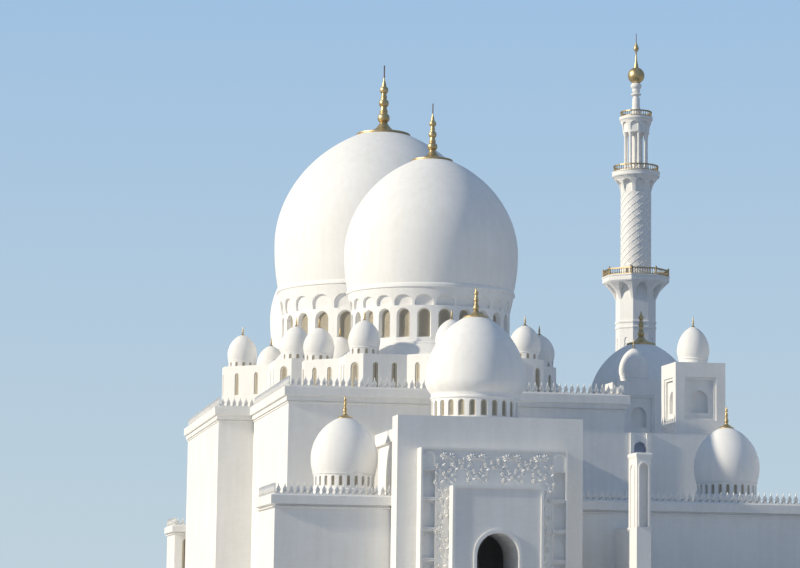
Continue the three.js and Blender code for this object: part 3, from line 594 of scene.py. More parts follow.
# Skirt: shares of the finial's radius and height. Beads and cone: shares of its height alone.
# A bead is its radius, middle, half height and neck.
SLENDER = dict(
    skirt=[(1.0, 0.0), (1.035, 0.008), (1.03, 0.02), (0.97, 0.03), (0.72, 0.036), (0.5, 0.058), (0.38, 0.082),
           (0.3, 0.106), (0.24, 0.13), (0.195, 0.152), (0.165, 0.172)],
    beads=[(0.084, 0.252, 0.058, 0.048), (0.056, 0.33, 0.009, 0.048), (0.056, 0.352, 0.009, 0.048),
           (0.068, 0.46, 0.05, 0.04), (0.045, 0.55, 0.01, 0.037), (0.059, 0.646, 0.045, 0.035)],
    cone=[(0.033, 0.7), (0.022, 0.75), (0.01, 0.8), (0.008, 0.825)],
)
STOUT = dict(
    skirt=[(1.0, 0.0), (1.03, 0.012), (1.03, 0.042), (0.97, 0.058), (0.66, 0.085), (0.5, 0.115), (0.38, 0.15),
           (0.28, 0.19), (0.21, 0.235)],
    beads=[(0.096, 0.325, 0.07, 0.064), (0.078, 0.43, 0.012, 0.058), (0.08, 0.58, 0.046, 0.054),
           (0.064, 0.66, 0.012, 0.05), (0.071, 0.79, 0.052, 0.042)],
    cone=[(0.036, 0.865), (0.022, 0.93), (0.0, 1.0)],
)


def finial(gilt, form, x, y, radius, seat, top, sides=SMALL_ROUND):
    """A wide hollow-sided skirt with a thick rim, bulbs that get smaller, and a cone."""
    height = top - seat
    profile = [(radius, seat - 0.02)]
    profile.extend((radius * r, seat + height * z) for r, z in form["skirt"])
    for size, centre, half, foot in form["beads"]:
        profile.extend((r * height, seat + z * height) for r, z in bead(size, centre, half, 10, foot))
    profile.extend((r * height, seat + z * height) for r, z in form["cone"])
    lathe(gilt, profile, x, y, sides)


def small_finial(gilt, x, y, seat, height, radius):
    profile = [(radius, seat), (radius * 0.5, seat + 0.1 * height), (radius * 0.2, seat + 0.22 * height)]
    profile.extend(bead(radius * 0.44, seat + 0.36 * height, 0.1 * height, 6, radius * 0.26))
    profile.extend(bead(radius * 0.34, seat + 0.58 * height, 0.07 * height, 6, radius * 0.24))
    profile.extend([(radius * 0.2, seat + 0.75 * height), (radius * 0.15, seat + 0.9 * height)])
    lathe(gilt, profile + [(0.0, seat + height)], x, y, 16)


def small_dome(stone, panes, gilt, x, y, z, dome):
    """A little dome on a low drum with a ring of tiny arched windows."""
    radius, neck, drum, height = dome["radius"], dome["neck"], dome["drum"], dome["height"]
    windows, ring = 12, 0.016
    top = z + drum
    bay = 2 * math.pi * neck / windows
    outline = arch(0.42 * bay, z + 0.06 * drum, z + 0.9 * drum, 0.5, 6)
    for heading in headings(windows):
        place = round_place(x, y, neck, heading)
        sunk_arch(stone, place, (-bay / 2, bay / 2, z, top), outline, depth=0.014, panes=panes)
    profile = [(neck + ring / 2 * math.sin(math.pi * i / 6), top + ring * i / 6) for i in range(6)]
    profile.extend(dome_profile(radius, neck, top + ring, z + height, 24))
    lathe(stone, profile, x, y, SMALL_ROUND)
    small_finial(gilt, x, y, z + height - 0.008, height=0.13, radius=0.035)


def great_drum(name, y, dome):
    """A windowed drum whose top flares out over a band of blind arches."""
    shapes = stone, bars, glass = Shape(), Shape(), Shape()
    radius, flare, hole = dome["drum_radius"], dome["drum_flare"], dome["window"]
    bottom, top = dome["drum_bottom"], dome["drum_top"]
    bay = 2 * math.pi * radius / DRUM_WINDOWS
    window_foot, arch_foot = bottom + DRUM_FOOT["top"], hole["top"] + BLIND_ARCH["below"]
    band_top = dome["arch_top"] + BLIND_ARCH["above"]
    rate = (flare - radius) / (top - arch_foot)
    lean = lambda z: max(0.0, (z - arch_foot) * rate)
    outline = arch(BLIND_ARCH["share"] * bay, arch_foot, dome["arch_top"], BLIND_ARCH["rise"], 14)
    for heading in headings(DRUM_WINDOWS):
        place = round_place(0.0, y, radius, heading)
        window(shapes, place, (-bay / 2, bay / 2, window_foot, arch_foot), hole, **DRUM_LATTICE)
        band = (-bay / 2, bay / 2, arch_foot, band_top)
        sunk_arch(stone, place, band, outline, BLIND_ARCH["depth"], front=lean)
    base = radius + DRUM_FOOT["out"]
    lathe(stone, [(base, bottom - 0.01), (base, bottom + DRUM_FOOT["edge"]), (radius, window_foot)], 0.0, y)
    lip, rim = LIP["height"], flare + LIP["reach"]
    collar = [(radius + lean(z), z) for z in (band_top, (band_top + top - lip) / 2, top - lip)]
    collar.extend([(rim, top - 0.85 * lip), (rim, top - 0.01), (flare + 0.4 * LIP["reach"], top),
                   (flare - LIP["set_back"], top + LIP["step"])])
    lathe(stone, collar, 0.0, y)
    make_piece(name + "_drum_dressed", stone, DOME_MARBLE, replaces=[f"{name}_drum_{i}" for i in range(1, 5)])
    make_windows(name + "_drum", bars, glass)


def great_dome(name, y, dome):
    """A great dome with its gilt finial, which ends in a thin dark rod."""
    shell, gilt, tip = Shape(), Shape(), Shape()
    foot, spring = dome["drum_flare"] - LIP["set_back"], dome["drum_top"] + LIP["step"]
    radius, top = dome["finial_radius"], dome["finial_top"]
    profile = dome_profile(dome["dome"], foot, spring, dome["apex"], 56)
    dome_top = height_at(profile, radius)
    lathe(shell, capped(profile, radius, dome_top), 0.0, y)
    seat = dome_top + 0.005
    finial(gilt, SLENDER, 0.0, y, radius, seat, top)
    height = top - seat
    rod = 0.0095 * height
    lathe(tip, [(rod, seat + 0.82 * height), (rod, top - 0.01 * height), (0.0, top)], 0.0, y, 12)
    make_piece(name + "_dome_shell", shell, DOME_MARBLE, replaces=[name + "_dome"])
    make_piece(name + "_finial_gilt", gilt, GOLD, [name + "_finial"])
    make_piece(name + "_finial_tip", tip, TIP)


def star_base(name, y, dome):
    """Two crossed squares with their points cut off, windows in every face, and eight little domes."""
    shapes = stone, bars, glass = Shape(), Shape(), Shape()
    gilt = Shape()
    half, top = dome["star_side"], dome["star_top"]
    face_half = STAR_CORNER_CUT * math.sqrt(0.5)
    face_out = half * math.sqrt(2) - face_half
    valley = half * (math.sqrt(2) - 1)
    wall = (2 - math.sqrt(2)) * half - STAR_CORNER_CUT
    shift = STAR_WINDOW["from_middle"] * wall
    head = top - STAR_WINDOW["below_top"]
    hole = dict(width=STAR_WINDOW["width"], sill=head - STAR_WINDOW["height"], top=head)
    corner_hole = dict(hole, width=STAR_CORNER_WINDOW_WIDTH)
    deck = []
    for heading in headings(8):
        point = flat_place(0.0, y, heading)
        corner = flat_place(0.0, y, heading, face_out)
        window(shapes, corner, (-face_half, face_half, ROOF_TOP, top), corner_hole, **STAR_CORNER_LATTICE)
        for hand in (-1, 1):
            near = point(hand * face_half, face_out, 0.0)
            far = point(hand * valley, half, 0.0)
            side = flat_place((near[0] + far[0]) / 2, (near[1] + far[1]) / 2, heading + hand * math.pi / 4)
            for a0, a1, offset in ((-wall / 2, 0.0, -shift), (0.0, wall / 2, shift)):
                window(shapes, side, (a0, a1, ROOF_TOP, top), hole, **STAR_LATTICE, offset=offset)
            box(stone, side, -wall / 2, wall / 2, -0.02, STAR_PLINTH["out"], ROOF_TOP,
                ROOF_TOP + STAR_PLINTH["height"])
        deck += [point(-valley, half, top), point(-face_half, face_out, top), point(face_half, face_out, top)]
        centre = point(0.0, dome["ring_radius"], 0.0)
        small_dome(stone, bars, gilt, centre[0], centre[1], top, dome["small_dome"])
    stone.face(*deck)
    apron = [(dome["apron_foot"], top), (dome["apron_top"], dome["drum_bottom"]),
             (dome["drum_radius"], dome["drum_bottom"] + 0.005)]
    lathe(stone, apron, 0.0, y)
    hidden = [name + "_star_wall", name + "_star_roof"]
    make_piece(name + "_star_dressed", stone, WALL_MARBLE, replaces=hidden)
    make_windows(name + "_star", bars, glass)
    make_piece(name + "_star_gilt", gilt, GOLD)


def drum_and_dome(name, x, y, dome):
    """A smaller dome on a drum with a ring of windows."""
    shapes = stone, bars, glass = Shape(), Shape(), Shape()
    gilt = Shape()
    neck, spring, hole = dome["neck"], dome["spring"], dome["window"]
    bay = 2 * math.pi * neck / DRUM_WINDOWS
    low, high = hole["sill"] - 0.03, hole["top"] + 0.02
    for heading in headings(DRUM_WINDOWS):
        place = round_place(x, y, neck, heading)
        window(shapes, place, (-bay / 2, bay / 2, low, high), hole, **SMALL_DRUM_LATTICE)
    base = [(neck + 0.015, dome["bottom"] - 0.005), (neck + 0.015, low - 0.012), (neck, low)]
    lathe(stone, base, x, y, MEDIUM_ROUND)
    ring = min(0.03, 0.4 * (spring - high))
    neckline = [(neck, high), (neck + 0.016, high + 0.2 * ring), (neck + 0.016, high + 0.8 * ring),
                (neck + 0.004, high + ring), (neck + 0.006, spring - 0.012), (neck + 0.01, spring)]
    profile = dome_profile(dome["radius"], neck + 0.01, spring, dome["apex"], 44, dome.get("bulge", 0.43))
    seat = height_at(profile, dome["finial_radius"])
    lathe(stone, neckline + capped(profile, dome["finial_radius"], seat), x, y, MEDIUM_ROUND)
    finial(gilt, STOUT, x, y, dome["finial_radius"], seat, dome["finial_top"], 32)
    make_piece(name + "_shell", stone, DOME_MARBLE, replaces=[name])
    make_windows(name, bars, glass)
    make_piece(name + "_finial_gilt", gilt, GOLD)


# Cornices, and merlons along the parapets

MERLON_SPACING = 0.081
MERLON_THICK = 0.012
MERLON_BASE = 0.014
MERLON_MOTIF_DEPTH = 0.009
MERLON_OUTER = [(0.0, 0.0), (0.034, 0.0), (0.034, 0.014), (0.0165, 0.026), (0.023, 0.045), (0.029, 0.061),
                (0.022, 0.079), (0.0125, 0.096), (0.0065, 0.108), (0.0045, 0.122), (0.0, 0.14)]
MERLON_MOTIF = [(0.0, 0.04), (0.002, 0.0405), (0.0045, 0.043), (0.008, 0.049), (0.0105, 0.055),
                (0.0115, 0.061), (0.0105, 0.067), (0.0075, 0.075), (0.0045, 0.082), (0.002, 0.087),
                (0.0, 0.09)]
HALL_CORNICE = [(0.0, ROOF_TOP - 0.03), (0.014, ROOF_TOP - 0.026), (0.014, ROOF_TOP - 0.012),
                (0.004, ROOF_TOP), (0.008, ROOF_TOP + 0.04), (0.026, ROOF_TOP + 0.06),
                (0.06, ROOF_TOP + 0.066), (0.062, PARAPET_TOP - 0.008), (0.056, PARAPET_TOP + 0.002),
                (-0.02, PARAPET_TOP + 0.004)]
WING_CORNICE = [(out, WING_PARAPET_TOP + up) for out, up in
                ((0.0, -0.156), (0.03, -0.15), (0.032, -0.138), (0.004, -0.134), (0.004, -0.114),
                 (0.05, -0.11), (0.052, -0.008), (0.044, 0.003), (-0.04, 0.003))]


def merlon():
    """A leaf-shaped merlon with a shallow motif cut into both its faces."""
    shape = Shape()
    outer, motif = (half + [(-a, z) for a, z in half[-2:0:-1]] for half in (MERLON_OUTER, MERLON_MOTIF))
    at = lambda outline, out: [(a, out, z) for a, z in outline]
    for side in (-1, 1):
        face = side * MERLON_THICK
        sunk = at(motif, side * (MERLON_THICK - MERLON_MOTIF_DEPTH))
        shape.skin([at(outer, face), at(motif, face), sunk], closed=True)
        shape.face(*sunk)
    shape.skin([at(outer, -MERLON_THICK), at(outer, MERLON_THICK)], closed=True)
    return shape


def merlon_rows(shape, pattern, path, z):
    """Merlons along a path on a low kerb, evenly spread, facing square to each stretch."""
    for (x0, y0), (x1, y1) in zip(path, path[1:]):
        length = math.dist((x0, y0), (x1, y1))
        count = max(1, round(length / MERLON_SPACING))
        heading = math.atan2(y1 - y0, x1 - x0)
        turn = Matrix.Rotation(heading, 4, "Z")
        for i in range(count):
            share = (i + 0.5) / count
            spot = (x0 + share * (x1 - x0), y0 + share * (y1 - y0), z)
            shape.copy(pattern, Matrix.Translation(spot) @ turn)
        kerb = flat_place((x0 + x1) / 2, (y0 + y1) / 2, heading)
        reach = MERLON_THICK + 0.002
        box(shape, kerb, -length / 2, length / 2, -reach, reach, z - 0.002, z + MERLON_BASE)


def hall_outline(reach):
    narrow, wide = HALL_HALF_WIDTH + reach, MIDDLE_HALF_WIDTH + reach
    long, middle = HALL_HALF_LENGTH + reach, MIDDLE_HALF_LENGTH + reach
    east = [(narrow, -long), (narrow, -middle), (wide, -middle), (wide, middle), (narrow, middle),
            (narrow, long)]
    return east + [(-x, y) for x, y in reversed(east)]


def wing_outlines(sign):
    """The outer edges of the west and the east wing at one end, each with its outside on the same hand."""
    inner, outer, vestibule = sign * HALL_HALF_LENGTH, sign * WING_OUTER_Y, VESTIBULE_HALF + 0.01
    west = [(-vestibule, outer), (-WEST_WING_END, outer), (-WEST_WING_END, inner), (-HALL_HALF_WIDTH, inner)]
    east = [(GALLERY_EAST, inner), (EAST_WING_END, inner), (EAST_WING_END, outer), (vestibule, outer)]
    return [path if sign > 0 else path[::-1] for path in (west, east)]


def cornices_and_merlons():
    pattern = merlon()
    crests, low_crests, bands = Shape(), Shape(), Shape()
    hall_line = hall_outline(-0.01)
    merlon_rows(crests, pattern, hall_line + hall_line[:1], PARAPET_TOP)
    moulding(bands, hall_outline(0.0), HALL_CORNICE)
    for sign in (-1, 1):
        for path in wing_outlines(sign):
            moulding(bands, path, WING_CORNICE, closed=False)
            merlon_rows(low_crests, pattern, path, WING_PARAPET_TOP)
        gallery_x = GALLERY_EAST - 0.02
        gallery = [(gallery_x, sign * HALL_HALF_LENGTH), (gallery_x, sign * ENTRANCE_HALF)]
        merlon_rows(low_crests, pattern, gallery, GALLERY_TOP)
    west, east, side = MIDDLE_HALF_WIDTH + 0.05, ENTRANCE_EAST - 0.02, ENTRANCE_HALF - 0.02
    merlon_rows(low_crests, pattern, [(west, -side), (east, -side), (east, side), (west, side)], ENTRANCE_TOP)
    make_piece("parapet_merlons", crests, WALL_MARBLE, crease=40)
    make_piece("low_roof_merlons", low_crests, WALL_MARBLE, crease=40)
    make_piece("cornice_bands", bands, WALL_MARBLE, crease=25)


# Towers

# The depth of the first of the two steps into a recess
FIRST_STEP = 0.018


def framed_recess(stone, place, recess, niche, half, z0, z1):
    """A wall face with a stepped rectangular recess that holds an arched niche."""
    edge, depth, step = recess["width"] / 2, recess["depth"], recess["step"]
    sill, top = recess["sill"], recess["top"]
    inner, low, high = edge - step, sill + step, top - step
    for a0, a1, b0, b1 in ((-half, -edge, z0, z1), (edge, half, z0, z1), (-edge, edge, top, z1),
                           (-edge, edge, z0, sill)):
        fill(stone, place, ((a0, b0), (a1, b0), (a1, b1), (a0, b1)), level(0.0))
    frames = [(edge, 0.0, sill, top), (edge, -FIRST_STEP, sill, top), (inner, -FIRST_STEP, low, high),
              (inner, -depth, low, high)]
    stone.skin([[place(a, out, z) for a, z in ((-b, c0), (b, c0), (b, c1), (-b, c1), (-b, c0))]
                for b, out, c0, c1 in frames])
    outline = arch(niche["width"], sill + 3 * step, niche["top"], 0.55, 18)
    back = lambda a, o, z: place(a, o - depth, z)
    sunk_arch(stone, back, (-inner, inner, low, high), outline, niche["depth"])


def square_block(stone, x, y, half, z0, z1, recess, niche):
    """A square block with the same recess in each of its four faces, and a flat top."""
    for heading in headings(4):
        framed_recess(stone, flat_place(x, y, heading, half), recess, niche, half, z0, z1)
    stone.face(*((a, b, z1) for a, b in square_corners(x, y, half, half)))


def tower(name, x, y):
    """A square tower with framed niches and a small dome."""
    stone, gilt = Shape(), Shape()
    top, radius, neck = TOWER["top"], TOWER_DOME["radius"], TOWER_DOME["neck"]
    square_block(stone, x, y, TOWER["half"], GALLERY_TOP, top, TOWER_RECESS, TOWER_NICHE)
    low, high = top + TOWER_DOME["drum"], top + TOWER_DOME["height"]
    profile = [(neck, top - 0.005), (neck, low - 0.012), (neck + 0.012, low - 0.008),
               (neck + 0.012, low + 0.002), (neck + 0.004, low + 0.007)]
    profile.extend(dome_profile(radius, neck + 0.004, low + 0.01, high, 30))
    lathe(stone, profile, x, y, SMALL_ROUND)
    small_finial(gilt, x, y, high - 0.008, height=0.14, radius=0.03)
    make_piece(name + "_dressed", stone, WALL_MARBLE, replaces=[name], crease=30)
    make_piece(name + "_gilt", gilt, GOLD)


# Minarets

# A baluster's profile: shares of its size across and of its height.
BALUSTER = [(0.0, 0.0), (0.35, 0.0), (0.35, 0.08), (0.18, 0.12), (0.42, 0.3), (0.2, 0.52), (0.16, 0.72),
            (0.3, 0.84), (0.3, 1.0)]
BALUSTER_SIZE = 0.028
# A corner post's profile: its radius, and how far it stands over the rail.
POST_HEAD = [(0.014, 0.0), (0.02, 0.004), (0.016, 0.022), (0.0, 0.034)]
# A rib of the round shaft: across and out.
RIB = [(-0.009, -0.003), (-0.005, 0.007), (0.005, 0.007), (0.009, -0.003)]
# A lantern's column: what is added to its radius, at heights from its foot and from its head.
COLUMN_FOOT = [(0.008, 0.05), (0.008, 0.09), (-0.004, 0.11)]
COLUMN_HEAD = [(-0.006, -0.09), (0.002, -0.07), (0.012, -0.02), (0.012, 0.0)]


def funnel_bay(stone, place, half_at, lean, outline, top):
    """One bay of a flaring underside, with an arched niche whose back stands upright."""
    edge = outline[len(outline) // 2:][::-1]
    crown = edge[-1][1]
    edge = edge + [(0.0, crown + (top - crown) * i / 4) for i in range(1, 5)]
    for hand in (-1, 1):
        for (a0, z0), (a1, z1) in zip(edge, edge[1:]):
            corners = [(half_at(z0), z0), (a0, z0), (a1, z1), (half_at(z1), z1)]
            fill(stone, place, [(hand * a, z) for a, z in corners], lean)
    niche = [place(a, -0.004, z) for a, z in outline]
    stone.skin([[place(a, lean(z), z) for a, z in outline], niche])
    stone.face(*niche)


def round_funnel(stone, x, y, r0, r1, z0, z1, turn=0.0):
    """A round flare with a ring of eight arched niches, as under the upper balconies."""
    bay = math.pi / 4 * r0
    lean = lambda z: (r1 - r0) * max(0.0, (z - z0) / (z1 - z0)) ** 1.9
    outline = arch(0.74 * bay, z0, z0 + 0.82 * (z1 - z0), 0.62, 12)
    for heading in headings(8, turn):
        funnel_bay(stone, round_place(x, y, r0, heading), level(bay / 2), lean, outline, z1)


def flared_funnel(stone, x, y, r0, r1, z0, z1):
    """An eight-sided flare with one arched niche in each face, as under the first balcony."""
    lean = lambda z: (r1 - r0) * max(0.0, (z - z0) / (z1 - z0)) ** 1.6
    half_at = lambda z: (r0 + lean(z)) * math.tan(EIGHTH)
    outline = arch(0.21, z0, z0 + 0.95 * (z1 - z0), 0.7, 14)
    for heading in headings(8):
        funnel_bay(stone, flat_place(x, y, heading, r0), half_at, lean, outline, z1)


def railing(metal, corners, balcony):
    """A railing through closed corners: rails and turned balusters, and posts where the corners are few."""
    z, height, spacing = balcony["top"], balcony["railing"], balcony["spacing"]
    for (x0, y0), (x1, y1) in zip(corners, corners[1:] + corners[:1]):
        length = math.dist((x0, y0), (x1, y1))
        place = flat_place((x0 + x1) / 2, (y0 + y1) / 2, math.atan2(y1 - y0, x1 - x0))
        box(metal, place, -length / 2, length / 2, -0.009, 0.009, z + height - 0.022, z + height)
        box(metal, place, -length / 2, length / 2, -0.007, 0.007, z, z + 0.016)
        count = max(1, round(length / spacing))
        for i in range(count):
            share = (i + 0.5) / count
            lathe(metal, [(r * BALUSTER_SIZE, z + h * (height - 0.02)) for r, h in BALUSTER],
                  x0 + share * (x1 - x0), y0 + share * (y1 - y0), 6)
        if len(corners) <= 8:
            lathe(metal, [(POST_HEAD[0][0], z)] + [(r, z + height + up) for r, up in POST_HEAD], x0, y0, 8)


def diamond_ribs(stone, x, y, radius, z0, z1):
    """Raised ribs that wind once round the shaft both ways and cross in diamonds."""
    starts, steps = 11, 48
    for hand in (-1, 1):
        for start in range(starts):
            rows = []
            for i in range(steps + 1):
                share = i / steps
                place = round_place(x, y, radius, 2 * math.pi * (start / starts + hand * share))
                rows.append([place(a, o, z0 + (z1 - z0) * share) for a, o in RIB])
            stone.skin(rows)


def minaret_foot(stone, x, y):
    """The square base with a tall panel in each face, up to where the eight-sided shaft starts."""
    half, top = MINARET_FOOT["half"], MINARET_FOOT["top"]
    square_block(stone, x, y, half, FLOOR_TOP, top, FOOT_RECESS, FOOT_NICHE)
    moulding(stone, square_corners(x, y, half, half),
             [(0.0, top - 0.09), (0.02, top - 0.07), (0.025, top - 0.01), (0.0, top + 0.01)])


def minaret_shaft(stone, x, y):
    """The eight-sided shaft: slender blind arches, two rings and the flare under the first balcony."""
    half, top = SHAFT["half"], SHAFT["top"]
    foot, (bay_top, second_ring) = MINARET_FOOT["top"], SHAFT["rings"]
    face = half * math.tan(EIGHTH)
    octagon(stone, [(half + 0.02, foot), (half + 0.02, foot + 0.08), (half, foot + 0.1)], x, y)
    outline = arch(SHAFT["arch_width"], foot + 0.25, SHAFT["arch_top"], 0.7, 12)
    for heading in headings(8):
        place = flat_place(x, y, heading, half)
        sunk_arch(stone, place, (-face, face, foot + 0.1, bay_top), outline, depth=0.014)
    rings = [(half, bay_top), (half + 0.012, bay_top + 0.015), (half + 0.012, bay_top + 0.04),
             (half, bay_top + 0.055), (half, second_ring), (half + 0.014, second_ring + 0.015),
             (half + 0.014, second_ring + 0.04), (half, second_ring + 0.055), (half, top)]
    octagon(stone, rings, x, y)
    slab, under, deck = FIRST_BALCONY["half"], FIRST_BALCONY["under"], FIRST_BALCONY["top"]
    flared_funnel(stone, x, y, half, slab - 0.014, top, under)
    balcony = [(slab - 0.014, under), (slab, under + 0.02), (slab, deck - 0.03), (slab + 0.012, deck - 0.02),
               (slab + 0.012, deck), (0.05, deck)]
    octagon(stone, balcony, x, y)


def minaret_cylinder(stone, dark, x, y):
    """The round shaft with diamond ribs, its door surround with a flat dark arch painted on as the opening's
    shade, and the second balcony.
    """
    radius, base, top = CYLINDER["radius"], FIRST_BALCONY["top"], CYLINDER["top"]
    foot = [(radius + 0.03, base - 0.002), (radius + 0.03, base + 0.05), (radius, base + 0.07), (radius, top)]
    lathe(stone, foot, x, y, SHAFT_ROUND)
    diamond_ribs(stone, x, y, radius, base + 0.08, top)
    door, side = flat_place(x, y, -math.pi / 4), MINARET_DOOR["surround"]
    out = radius + 0.032
    opening = arch(MINARET_DOOR["width"], base, base + MINARET_DOOR["top"], 0.6, 10)
    box(stone, door, -side, side, radius - 0.02, out, base, base + MINARET_DOOR["head"])
    # The doorway is not cut: a flat dark arch just in front of the surround is painted shade of the opening.
    fill(dark, door, opening, level(out + 0.001))
    slab, under, deck = SECOND_BALCONY["radius"], SECOND_BALCONY["under"], SECOND_BALCONY["top"]
    round_funnel(stone, x, y, radius, slab - 0.015, top, under)
    balcony = [(slab - 0.015, under), (slab, under + 0.02), (slab, deck - 0.02), (slab + 0.01, deck - 0.01),
               (slab + 0.01, deck), (0.05, deck)]
    lathe(stone, balcony, x, y, SHAFT_ROUND)


def minaret_lantern(stone, x, y):
    """Eight columns round a core, the third balcony and the waisted neck above it."""
    low, high = SECOND_BALCONY["top"], LANTERN["top"]
    rim, radius = LANTERN["rim"], LANTERN["column"]
    lathe(stone, [(LANTERN["core"], low), (LANTERN["core"], high)], x, y, 32)
    plinth = [(rim, low), (rim, low + 0.05), (rim - 0.01, low + 0.06), (0.1, low + 0.06)]
    lathe(stone, plinth, x, y, SMALL_ROUND)
    column = [(radius + wider, low + up) for wider, up in COLUMN_FOOT]
    column.extend((radius + wider, high + up) for wider, up in COLUMN_HEAD)
    for column_x, column_y in circle_points(x, y, LANTERN["ring"], LANTERN["columns"]):
        lathe(stone, column, column_x, column_y, 16)
    lathe(stone, [(0.1, high - 0.02), (rim, high - 0.02), (rim, high)], x, y, SMALL_ROUND)
    slab, under, deck = THIRD_BALCONY["radius"], THIRD_BALCONY["under"], THIRD_BALCONY["top"]
    round_funnel(stone, x, y, rim, slab - 0.01, high, under, EIGHTH)
    lathe(stone, [(slab - 0.01, under), (slab, under + 0.015), (slab, deck), (0.03, deck)], x, y, SHAFT_ROUND)
    ring = bead(NECK_RING["radius"], NECK_RING["centre"], NECK_RING["half"])
    lathe(stone, [(r, deck + up) for r, up in NECK_LOWER + ring + NECK_UPPER], x, y, SMALL_ROUND)


def minaret_top(gilt, tip, x, y):
    """The gilt ball, its flared stem, the pointed bulb and the thin tip."""
    ball, centre = BALL["radius"], BALL["centre"]
    angles = [math.pi * i / 20 for i in range(1, 20)]
    profile = [(max(ball * math.sin(turn), BALL["hole"]), centre - ball * math.cos(turn)) for turn in angles]
    profile.extend((r, centre + up) for r, up in SPIRE)
    lathe(gilt, profile, x, y, SMALL_ROUND)
    lathe(tip, [(0.008, centre + 0.62), (0.006, MINARET_TIP - 0.01), (0.0, MINARET_TIP)], x, y, 12)


def minaret(name, x, y):
    stone, metal, gilt, tip, dark = Shape(), Shape(), Shape(), Shape(), Shape()
    minaret_foot(stone, x, y)
    minaret_shaft(stone, x, y)
    minaret_cylinder(stone, dark, x, y)
    minaret_lantern(stone, x, y)
    minaret_top(gilt, tip, x, y)
    first_reach = (FIRST_BALCONY["half"] - FIRST_BALCONY["inset"]) / math.cos(EIGHTH)
    railing(metal, circle_points(x, y, first_reach, 8, EIGHTH), FIRST_BALCONY)
    for balcony, stretches in ((SECOND_BALCONY, 24), (THIRD_BALCONY, 20)):
        railing(metal, circle_points(x, y, balcony["radius"] - balcony["inset"], stretches), balcony)
    hidden = [name + "_shaft", name + "_lantern"]
    make_piece(name + "_dressed", stone, WALL_MARBLE, replaces=hidden, crease=30)
    make_piece(name + "_railings", metal, RAILING, crease=50)
    make_piece(name + "_gilt", gilt, GOLD)
    make_piece(name + "_tip", tip, TIP)
    # The doorway's painted shade takes the dark finial-tip material.
    make_piece(name + "_doorway_painted_shade", dark, TIP)


# Portals

# Each vine of one half of the frame: how far across its foot is, its foot, height, sway and first bend.
VINES = [(0.636, 0.2, 0.82, 0.04, 1), (0.636, 1.1, 0.8, 0.04, -1), (0.12, 1.59, 0.3, 0.05, 1),
         (0.31, 1.59, 0.3, 0.05, -1), (0.5, 1.59, 0.3, 0.05, 1)]
RELIEF_OUT = 0.001
STEM, TENDRIL = 0.014, 0.008
LEAF = dict(length=0.075, width=0.034)
FLOWER, TOP_FLOWER = 0.034, 0.058
# A stem's half section: across and out, as shares of its radius.
STEM_SECTION = [(-1, -0.1), (-0.6, 0.8), (0.6, 0.8), (1, -0.1)]


def leaf(shape, place, a, z, angle, length, width):
    """A pointed leaf, raised in the middle."""
    cosine, sine = math.cos(angle), math.sin(angle)
    steps = 6
    rows = []
    for i in range(steps + 1):
        t = i / steps
        half = width / 2 * math.sin(math.pi * t) ** 0.8 if 0 < t < 1 else 0.0
        rows.append([place(a + length * t * cosine - side * half * sine, RELIEF_OUT + out,
                           z + length * t * sine + side * half * cosine)
                     for side, out in ((-1, 0.0), (0, 0.02 * math.sin(math.pi * t)), (1, 0.0))])
    shape.skin(rows)


def flower(shape, place, a, z, radius, petals=6):
    """A ring of petals round a small dome."""
    for i in range(petals):
        leaf(shape, place, a, z, 2 * math.pi * i / petals + 0.3, radius, 0.55 * radius)
    rows = []
    for j in range(4):
        reach, out = 0.28 * radius * math.cos(j * math.pi / 6), 0.012 * math.sin(j * math.pi / 6) + 0.004
        rows.append([place(a + reach * math.cos(2 * math.pi * i / 10), RELIEF_OUT + out,
                           z + reach * math.sin(2 * math.pi * i / 10)) for i in range(10)])
    shape.skin(rows, closed=True)


def stem(shape, place, points, radius):
    """A rounded stem along the points, which gets thinner towards its end."""
    rows = []
    for i, (a, z) in enumerate(points):
        before, after = points[max(i - 1, 0)], points[min(i + 1, len(points) - 1)]
        length = math.dist(before, after) or 1.0
        across, up = -(after[1] - before[1]) / length, (after[0] - before[0]) / length
        taper = radius * (1 - 0.55 * i / (len(points) - 1))
        rows.append([place(a + side * taper * across, RELIEF_OUT + out * taper, z + side * taper * up)
                     for side, out in STEM_SECTION])
    shape.skin(rows)


def curl(a, z, side, reach):
    """The points of a tendril that winds in from the main stem."""
    points = []
    for j in range(13):
        t = j / 12
        angle = math.pi / 2 - side * (0.5 + 3.6 * t) + math.pi * 0.5 * side
        radius = 0.9 * reach * (0.55 - 0.3 * t)
        points.append((a + side * reach * 0.5 + radius * math.cos(angle),
                       z + reach * 0.35 + radius * math.sin(angle)))
    return points


def vine(shape, place, a0, z0, height, sway, bend, draw):
    """A climbing stem with side tendrils, leaves and a flower at its top."""
    steps = 40
    shares = [i / steps for i in range(steps + 1)]
    path = [(a0 + bend * sway * math.sin(2.2 * math.pi * t), z0 + height * t) for t in shares]
    stem(shape, place, path, STEM)
    for i in range(4, steps, 5):
        a, z = path[i]
        side = bend if (i // 5) % 2 else -bend
        tendril = curl(a, z, side, 0.07 + 0.03 * draw.random())
        stem(shape, place, tendril, TENDRIL)
        leaf(shape, place, a, z, math.pi / 2 + side * 0.9, **LEAF)
        flower(shape, place, *tendril[-1], FLOWER)
    flower(shape, place, path[-1][0], path[-1][1] + 0.01, TOP_FLOWER, 8)


